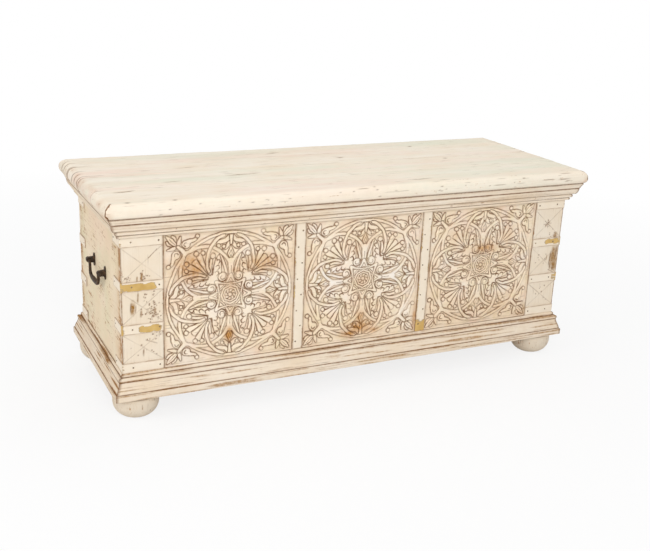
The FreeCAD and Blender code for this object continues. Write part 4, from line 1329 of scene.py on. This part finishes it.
def nose_chips(x, z, past_y, height, seed):
    """Brown chips and specks along the nose."""
    rng = np.random.default_rng(seed)
    recess = np.zeros(len(x))
    for _ in range(14):
        chip_x = rng.triangular(-half_length, half_length, half_length)
        chip_z = rng.choice(height[3:18])
        chip = blob(x, z, chip_x, chip_z, rng.uniform(4, 16), 0.5, 4)
        recess = np.maximum(recess, rng.uniform(0.3, 0.9) * chip * (past_y > 20))
    for _ in range(26):
        speck_x = rng.uniform(-half_length, half_length)
        speck_z = rng.choice(height[2:20])
        speck = blob(x, z, speck_x, speck_z, rng.uniform(1.6, 3.6), 0.9)
        recess = np.maximum(recess, rng.uniform(0.5, 1.0) * speck * (past_y > 16))
    return recess


def plank_wear(x, y, z, edge_gap, on_top, past_x, seed):
    """Wood that shows along a plank's nose, its upper arris and its ends."""
    nose_gap = np.abs(z - slab_low - 14)
    wear = 0.4 * ease(1 - edge_gap / 9) * np.exp(-(nose_gap / 12) ** 2)
    wear = wear * (0.5 + 0.5 * drift(x, y, 40, seed + 4))
    arris = np.exp(-((edge_gap - 13) / 5) ** 2) * on_top
    arris_wear = (0.3 + 0.15 * x / half_length) * arris * (0.6 + 0.6 * drift(x, y, 34, seed + 5))
    end_wear = 0.45 * ease((past_x - 14) / 14) * (0.5 + 0.6 * drift(z, y, 14, seed + 8))
    return np.maximum(np.maximum(wear, arris_wear), end_wear)


def lid_plank(name, low_y, high_y, nose_low, nose_high, seed, knots, cracks):
    """Plank of the top: nosed where it meets the edge of the lid, eased where it meets the next plank."""
    reach, height = nose_outline().T
    nosed = nose_low or nose_high
    columns = plank_columns(reach, nosed_step if nosed else plank_step)
    rows = plank_rows(reach, low_y, high_y, nose_low, nose_high)
    piece = laid_grid(name + "_wood", plank_points(reach, height, rows, columns))
    close(piece, merge=weld)
    p = places(piece)
    x, y, z = p.T
    past_x = np.abs(x) - half_length
    past_y = np.abs(y) - half_depth
    edge_gap = np.minimum(half_length + lid_overhang - np.abs(x), half_depth + lid_overhang - np.abs(y))
    on_top = ease((z - lid_top + 6) / 6)
    dip, recess = plank_dips(x, y, edge_gap, seed, knots, cracks)
    seams = [seam for seam, nose in ((low_y, nose_low), (high_y, nose_high)) if not nose]
    split = corner_split(x, y, z, past_x, past_y, seed)
    foot = ease((slab_low + 3.4 - z) / 2.0) * (z > slab_low + 0.3)
    recess = np.maximum.reduce([recess, seam_brown(x, y, seams, seed + 3), 0.75 * foot, split])
    split_depth = 1.2
    inward = split_depth * split
    p = np.stack([x - inward * np.sign(x), y - inward * np.sign(y), z - dip * on_top], -1)
    move_points(piece, p)
    x, y, z = p.T
    if nosed:
        recess = np.maximum(recess, nose_chips(x, z, past_y, height, seed + 7))
    wear = plank_wear(x, y, z, edge_gap, on_top, past_x, seed)
    end_stain = ease((past_x - 15) / 14) * np.clip(0.35 + 0.9 * drift(z * 2, y, 28, seed + 10), 0, 1)
    # Painted highlight: thick lime lightens the nose at the front and back, which the lamps leave darker
    # than the top.
    mark(piece, recess=recess, wear=wear, stain=0.4 * end_stain, fresh=0.5 * ease((past_y - 18) / 10))
    smooth_by(piece, 50)
    finished(piece, name, lid_lime, board_wood, lambda centre, normal: normal.z < -0.95)


def lid_planks():
    """Four planks of the top, each with its own knots and cracks."""
    seams = [span_of("lid_plank_%d" % k)[0][1] for k in (2, 3, 4)]
    end_x = half_length + lid_overhang
    lid_plank("lid_plank_1", -half_depth, seams[0], True, False, 201, [(-533, -204, 3), (-439, -207, 2.4)],
              [(-522, -120, 22, 2.2), (-508, -117, 16, 1.8), (end_x, -170, 30, 1.2), (140, -182, 30, 1.4)])
    lid_plank("lid_plank_2", seams[0], seams[1], False, False, 211, [(314, 0, 3)],
              [(-240, -34, 34, 2.0), (-210, -33, 22, 1.8), (end_x, -60, 40, 1.2), (-400, -62, 24, 1.4)])
    lid_plank("lid_plank_3", seams[1], seams[2], False, False, 223, [(60, 70, 4)],
              [(-end_x, 30, 60, 1.8), (-end_x, 54, 24, 1.6), (-end_x, 78, 34, 1.6), (end_x, 60, 36, 1.2),
               (-330, 60, 34, 1.0)])
    lid_plank("lid_plank_4", seams[2], half_depth, False, True, 227, [(300, 150, 3)],
              [(-end_x, 128, 26, 1.6), (-end_x, 160, 34, 1.6), (-end_x, 182, 22, 1.6), (end_x, 150, 40, 1.2),
               (-80, 158, 20, 1.8)])


# Turned feet

def bun_foot(name):
    """Turned bun: a disc drawn up and out ring by ring, with its shoulder under the base."""
    low, high = span_of(name)
    centre_x = (low[0] + high[0]) / 2
    centre_y = (low[1] + high[1]) / 2
    rings = [(22.0, 0.0), (25.5, 0.35)]
    rings += arc((25.5, 0.35), (41.3, 11.0), (49.0, 34.0), count=14)
    rings += arc((49.0, 34.0), (48.7, 40.0), (47.2, 45.0), count=5)
    rings += [(46.4, 47.0), (44.0, 48.2), (42.5, 49.2), (42.5, foot_height)]
    bpy.ops.object.select_all(action="DESELECT")
    bpy.ops.mesh.primitive_circle_add(vertices=72, radius=rings[0][0] * MM, fill_type="NGON",
                                      location=(centre_x * MM, centre_y * MM, 0))
    foot = bpy.context.object
    foot.name = name + "_wood"
    bpy.ops.object.transform_apply(location=True, rotation=False, scale=False)
    edited(foot)
    for (radius, height), (wider, higher) in zip(rings, rings[1:]):
        bpy.ops.mesh.extrude_region_move(TRANSFORM_OT_translate={"value": (0, 0, (higher - height) * MM)})
        scale = wider / radius
        bpy.ops.transform.resize(value=(scale, scale, 1),
                                 center_override=(centre_x * MM, centre_y * MM, higher * MM))
    shut()
    p = places(foot)
    height = p[:, 2]
    turn = np.arctan2(p[:, 1] - centre_y, p[:, 0] - centre_x)
    # Painted shadow: brown on the shoulder and neck that the base overhangs; the foot is also darker toward
    # the floor.
    recess = np.maximum(0.9 * ease((height - 46.5) / 2.0), 0.5 * ease((5 - height) / 5))
    lines = 0.5 + 0.5 * drift(turn * 30, height * 3, 9, int(abs(centre_x)) % 7 + 3)
    mark(foot, recess=recess, wear=0.45 * lines * ease((height - 8) / 20))
    smooth_by(foot, 40)
    finished(foot, name, foot_lime)


# Metal

def bent_strip(name, path, low_z, high_z, seed, bare):
    """Thin strip along a path of x, y points, hammered a little uneven, thick on its inner side."""
    line = np.array(path, float)
    run = np.concatenate([[0], np.cumsum(np.hypot(*np.diff(line, axis=0).T))])
    even = np.union1d(np.linspace(0, run[-1], int(run[-1] / strip_step) + 1), run)
    x = np.interp(even, run, line[:, 0])
    y = np.interp(even, run, line[:, 1])
    heights = np.linspace(low_z, high_z, int((high_z - low_z) / strip_rise) + 1)
    points = np.zeros((len(heights), len(even), 3))
    points[:, :, 0] = x
    points[:, :, 1] = y
    points[:, :, 2] = heights[:, None]
    edge = np.zeros((len(heights), len(even)))
    edge[[0, -1], :] = 1
    waver = drift(even[None, :] + 0 * edge, heights[:, None] + 0 * edge, 11, seed)
    points[:, :, 2] += edge * 0.35 * waver
    piece = laid_grid(name, points)
    # Brown marked along the strip's edges, partly painted shade at its proud edges.
    edge[:, [0, -1]] = 1
    mark(piece, wear=bare(points[:, :, 0], points[:, :, 1], points[:, :, 2]),
         recess=edge * np.clip(0.75 + 0.5 * waver, 0, 1))
    modified(piece, "SOLIDIFY", thickness=(strap_thickness - 0.1) * MM, offset=-1.0)
    bevelled(piece, 0.35, segments=1, angle=50)
    return piece


def joined(pieces, name):
    """One piece made of several."""
    bpy.ops.object.select_all(action="DESELECT")
    for piece in pieces:
        piece.select_set(True)
    bpy.context.view_layer.objects.active = pieces[0]
    if len(pieces) > 1:
        bpy.ops.object.join()
    made = bpy.context.view_layer.objects.active
    made.name = name
    made.data.name = name
    return made


def rubbed_patch(cx, cz, rx, rz, strength):
    """Place on a front strap where the paint is rubbed off, with ragged edges."""
    def amount(x, y, z):
        ragged = (z - cz) / rz + 0.3 * drift(x, z, 8, int(abs(cx)))
        worn = strength * np.exp(-((x - cx) / rx + 0.1 * drift(z, x, 6, int(rx))) ** 10 - ragged ** 8)
        return worn * (y < -half_depth + 2)
    return amount


def corner_straps(face, end, leg, rubbed):
    """Group of bent straps round one corner of the case, some of them rubbed on the front."""
    sign_x = SIGNS[end]
    sign_y = SIGNS[face]
    out_x = sign_x * (half_length + strap_thickness)
    out_y = sign_y * (half_depth + strap_thickness)
    play = 0.4
    bend = 1.2
    cut_in = 0.35
    path = [(sign_x * (half_length - leg + play), out_y), (out_x - sign_x * bend, out_y),
            (out_x - sign_x * cut_in * bend, out_y - sign_y * cut_in * bend), (out_x, out_y - sign_y * bend),
            (out_x, sign_y * (half_depth - strap_end_leg))]
    if sign_x * sign_y > 0:
        path = path[::-1]
    made = []
    for number, top in enumerate(strap_tops):
        patch = rubbed.get(number)

        def bare(x, y, z, patch=patch):
            corner = np.hypot(x - out_x, y - out_y)
            amount = (0.55 if patch else 0.3) * np.exp(-(corner / 6) ** 2) + 0.06
            return np.maximum(amount, patch(x, y, z)) if patch else amount

        made.append(bent_strip("strap_%d" % number, path, top - strap_width, top, 300 + number, bare))
    node = "corner_straps_%s_%s" % (face, end)
    piece = joined(made, node + "_strip")
    smooth_by(piece, 40)
    finished(piece, node, strip_brass)


def panel_strap(end, number):
    """Strip over a joint of the carved boards, rubbed along its sides. The second is bare at its foot."""
    node = "panel_strap_" + end
    low, high = span_of(node)

    def bare(x, y, z):
        foot = 0.75 * ease((panel_low + 44 - z) / 30) if number else 0.0
        side = np.exp(-(np.minimum(x - low[0], high[0] - x) / 4) ** 2)
        rubbed_side = 0.3 * side * (0.7 + 0.8 * drift(x * 3, z, 26, 340 + number))
        return np.maximum(0.08 + rubbed_side, foot * (0.85 + 0.4 * drift(x, z, 9, 330)))

    side_play = 0.3
    end_play = 0.2
    path = [(low[0] + side_play, low[1]), (high[0] - side_play, low[1])]
    piece = bent_strip(node + "_strip", path, low[2] + end_play, high[2] - end_play, 320 + number, bare)
    smooth_by(piece, 40)
    finished(piece, node, strip_brass)


def straps():
    """Corner straps in four groups and the two strips over the joints of the carved boards."""
    upper, lower = strap_tops[1:3]
    rubbed = {"left": {1: rubbed_patch(-509, upper - 12, 35, 7.5, 0.8),
                       2: rubbed_patch(-487, lower - 12, 25, 7.5, 0.7)},
              "right": {1: rubbed_patch(521, upper - 9, 21, 7.5, 0.6),
                        2: rubbed_patch(537, lower - 10, 7, 8, 0.5)}}
    for face, end, leg in strap_legs:
        corner_straps(face, end, leg, rubbed[end] if face == "front" else {})
    for number, end in enumerate(("left", "right")):
        panel_strap(end, number)


def nail_heads(node, nails, material):
    """Hand cut nail heads: one faceted low dome, copied to each nail's place and turned a little."""
    bpy.ops.object.select_all(action="DESELECT")
    bpy.ops.mesh.primitive_cone_add(vertices=8, radius1=2.2 * MM, radius2=1.2 * MM, depth=1.1 * MM)
    first = bpy.context.object
    bevelled(first, 0.35, segments=1, angle=30)
    rng = np.random.default_rng(77)
    seat = 0.35
    heads = []
    for point, outward in nails:
        head = first.copy()
        head.data = first.data.copy()
        bpy.context.scene.collection.objects.link(head)
        way = Vector(outward)
        turn = way.to_track_quat("Z", "Y").to_matrix().to_4x4()
        spin = Matrix.Rotation(rng.uniform(0, 0.8), 4, "Z")
        squeeze = Matrix.Diagonal((rng.uniform(0.85, 1.1), rng.uniform(0.85, 1.1), rng.uniform(0.7, 1.0), 1))
        lift = Matrix.Translation(Vector(point) * MM + way * seat * MM)
        head.data.transform(lift @ turn @ spin @ squeeze)
        heads.append(head)
    bpy.data.objects.remove(first)
    piece = joined(heads, node + "_heads")
    smooth_by(piece, 50)
    finished(piece, node, material)


def strap_nails():
    """Place and outward way of each nail through the straps."""
    nails = []
    for face, end, leg in strap_legs:
        sign_x = SIGNS[end]
        sign_y = SIGNS[face]
        for top in strap_tops:
            middle = top - strap_width / 2
            for inset in (nail_from_corner, leg - nail_from_end):
                place = (sign_x * (half_length - inset), sign_y * (half_depth + strap_thickness), middle)
                nails.append((place, (0, sign_y, 0)))
            inset = strap_end_leg - nail_from_end
            place = (sign_x * (half_length + strap_thickness), sign_y * (half_depth - inset), middle)
            nails.append((place, (sign_x, 0, 0)))
    pitch = (panel_high - panel_low) / panel_strap_nails
    for end in ("left", "right"):
        low, high = span_of("panel_strap_" + end)
        for number in range(panel_strap_nails):
            side = nail_zigzag if number % 2 else -nail_zigzag
            place = ((low[0] + high[0]) / 2 + side, low[1], panel_low + (number + 0.5) * pitch)
            nails.append((place, (0, -1, 0)))
    return nails


def handle_nails():
    """Place and outward way of each nail through the handle plates."""
    nails = []
    for sign in (-1, 1):
        out_x = sign * (half_length + handle_plate)
        for row in (-1, 1):
            plate_y = handle_centre + row * handle_span / 2
            for rise in (-handle_nail_rise, handle_nail_rise):
                nails.append(((out_x, plate_y, handle_height + rise), (sign, 0, 0)))
    return nails


def bail(name, sign):
    """Drop handle: one bar bent round, swelling at the grip and ending in knobs outside the eyes."""
    pivot_x = sign * (half_length + handle_out)
    half = handle_span / 2
    half_eye = 4.5
    bend = 7.0
    drop = 30.0
    knob = half + half_eye
    arm = half - half_eye - bend
    route = [(knob + 7.6, 0, 2.2), (knob + 6.9, 0, 3.9), (knob + 4.6, 0, 4.9), (knob + 2.4, 0, 4.6),
             (knob + 0.8, 0, 3.2), (half, 0, 3.0), (arm + bend, 0, 3.0), (arm + 3.2, -0.9, 3.1),
             (arm + 0.6, -3.8, 3.1), (arm, -8, 3.1), (arm, -14, 3.1), (arm - 0.8, -21, 3.3),
             (arm - 5.0, -27.2, 3.6), (arm - 12, -drop, 4.0), (18, -drop, 4.8), (8, -drop, 5.1),
             (0, -drop, 5.2)]
    full = route + [(-along, up, size) for along, up, size in route[-2::-1]]
    bpy.ops.object.select_all(action="DESELECT")
    bpy.ops.curve.primitive_bezier_curve_add()
    curve = bpy.context.object
    curve.data.splines.clear()
    spline = curve.data.splines.new("NURBS")
    spline.points.add(len(full) - 1)
    for point, (along, up, size) in zip(spline.points, full):
        point.co = (pivot_x * MM, (handle_centre + along) * MM, (handle_height + up) * MM, 1.0)
        point.radius = size
    spline.order_u = 3
    spline.use_endpoint_u = True
    spline.resolution_u = 5
    curve.matrix_world = Matrix.Identity(4)
    curve.data.dimensions = "3D"
    curve.data.bevel_depth = 1.0 * MM
    curve.data.bevel_resolution = 4
    curve.data.use_fill_caps = True
    only(curve)
    bpy.ops.object.convert(target="MESH")
    piece = bpy.context.object
    piece.name = name + "_iron"
    smooth_by(piece, 60)
    finished(piece, name, handle_iron)


def ironwork():
    """Handles, their nails, the strap nails and the lid hinges."""
    for name in ("left", "right"):
        bail("handle_%s_bail" % name, SIGNS[name])
        for row in ("front", "rear"):
            eased_copy("handle_%s_%s_plate" % (name, row), 0.6, handle_iron)
        for part in ("case_leaf", "lid_leaf"):
            eased_copy("hinge_%s_%s" % (name, part), 0.3, handle_iron)
    kept = {"hinge_left_pin": handle_iron, "hinge_right_pin": handle_iron, "case_hinge_nails": nail_iron,
            "lid_hinge_nails": nail_iron}
    for node, material in kept.items():
        nodes[node].data.materials.clear()
        nodes[node].data.materials.append(material)
    nail_heads("strap_nails", strap_nails(), nail_iron)
    nail_heads("handle_nails", handle_nails(), handle_iron)


# Stage

def seen_directly(tree):
    """Mask of what is seen by the camera, in a gloss or through a clear part."""
    path = add(tree, "LightPath")
    seen = path.outputs["Is Camera Ray"]
    for ray in ("Is Glossy Ray", "Is Transmission Ray"):
        seen = add(tree, "Math", {0: seen, 1: path.outputs[ray]}, operation="MAXIMUM")
    return seen


def studio():
    """Plain pale floor, soft lamps and a white surround."""
    bpy.ops.object.select_all(action="DESELECT")
    bpy.ops.mesh.primitive_plane_add(size=40.0, location=(0, 0, 0))
    floor = bpy.context.object
    floor.name = "studio_floor"
    material, tree = blank_material("matt_white_floor")
    place = add(tree, "TexCoord").outputs["Object"]
    away = add(tree, "VectorMath", {0: place}, operation="LENGTH").outputs["Value"]
    fade = add(tree, "MapRange", {0: away, 1: 0.7, 2: 2.2, 3: 0.82, 4: 1.0})
    share = add(tree, "Math", {0: seen_directly(tree), 1: fade}, operation="MULTIPLY")
    matt = add(tree, "BsdfDiffuse", {"Color": (0.88, 0.88, 0.88, 1)})
    glow = add(tree, "Emission", {"Color": (1, 1, 1, 1), "Strength": 1.0})
    mixed = add(tree, "MixShader", {0: share, 1: matt, 2: glow})
    add(tree, "OutputMaterial", {"Surface": mixed})
    floor.data.materials.append(material)

    world = bpy.data.worlds.new("white_surround")
    bpy.context.scene.world = world
    world.use_nodes = True
    tree = world.node_tree
    tree.nodes.clear()
    soft = add(tree, "Background", {"Color": (1, 1, 1, 1), "Strength": 0.5})
    white = add(tree, "Background", {"Color": (1, 1, 1, 1), "Strength": 1.0})
    mixed = add(tree, "MixShader", {0: seen_directly(tree), 1: soft, 2: white})
    add(tree, "OutputWorld", {"Surface": mixed})

    # Lamps: place in metres, size and power
    lamps = (("key_lamp", (-1.1, -3.2, 2.2), 2.0, 57.0), ("left_lamp", (-3.0, -0.6, 1.7), 1.8, 24.0),
             ("top_lamp", (0.6, 0.4, 3.0), 2.4, 22.0))
    for name, place, size, power in lamps:
        lamp = bpy.data.lights.new(name, "AREA")
        lamp.energy = power
        lamp.size = size
        holder = bpy.data.objects.new(name, lamp)
        bpy.context.scene.collection.objects.link(holder)
        holder.location = place
        aim = Vector((0, 0, 0.25)) - Vector(place)
        holder.rotation_euler = aim.to_track_quat("-Z", "Y").to_euler()


def camera():
    """Camera at the photograph's viewing angle, turned by its yaw, pitch and roll."""
    place = (-0.99444, -2.00986, 0.96393)
    yaw = 0.459
    pitch = -0.328
    roll = 0.045
    forward = Vector((math.sin(yaw) * math.cos(pitch), math.cos(yaw) * math.cos(pitch), math.sin(pitch)))
    right = Vector((math.cos(yaw), -math.sin(yaw), 0))
    up = right.cross(forward)
    turned_right = math.cos(roll) * right + math.sin(roll) * up
    turned_up = -math.sin(roll) * right + math.cos(roll) * up
    lens = bpy.data.cameras.new("photo_camera")
    lens.lens = 54.25
    lens.sensor_width = 36.0
    lens.sensor_fit = "HORIZONTAL"
    lens.clip_end = 100.0
    holder = bpy.data.objects.new("photo_camera", lens)
    bpy.context.scene.collection.objects.link(holder)
    rotation = Matrix((turned_right, turned_up, -forward)).transposed().to_4x4()
    holder.matrix_world = Matrix.Translation(place) @ rotation
    bpy.context.scene.camera = holder


camera()
studio()
front_carving()
stiles()
plain_boards()
mouldings()
lid_planks()
for corner in ("front_left", "front_right", "back_left", "back_right"):
    bun_foot("bun_foot_" + corner)
straps()
ironwork()

bpy.context.scene.view_settings.view_transform = "Standard"
bpy.context.view_layer.update()
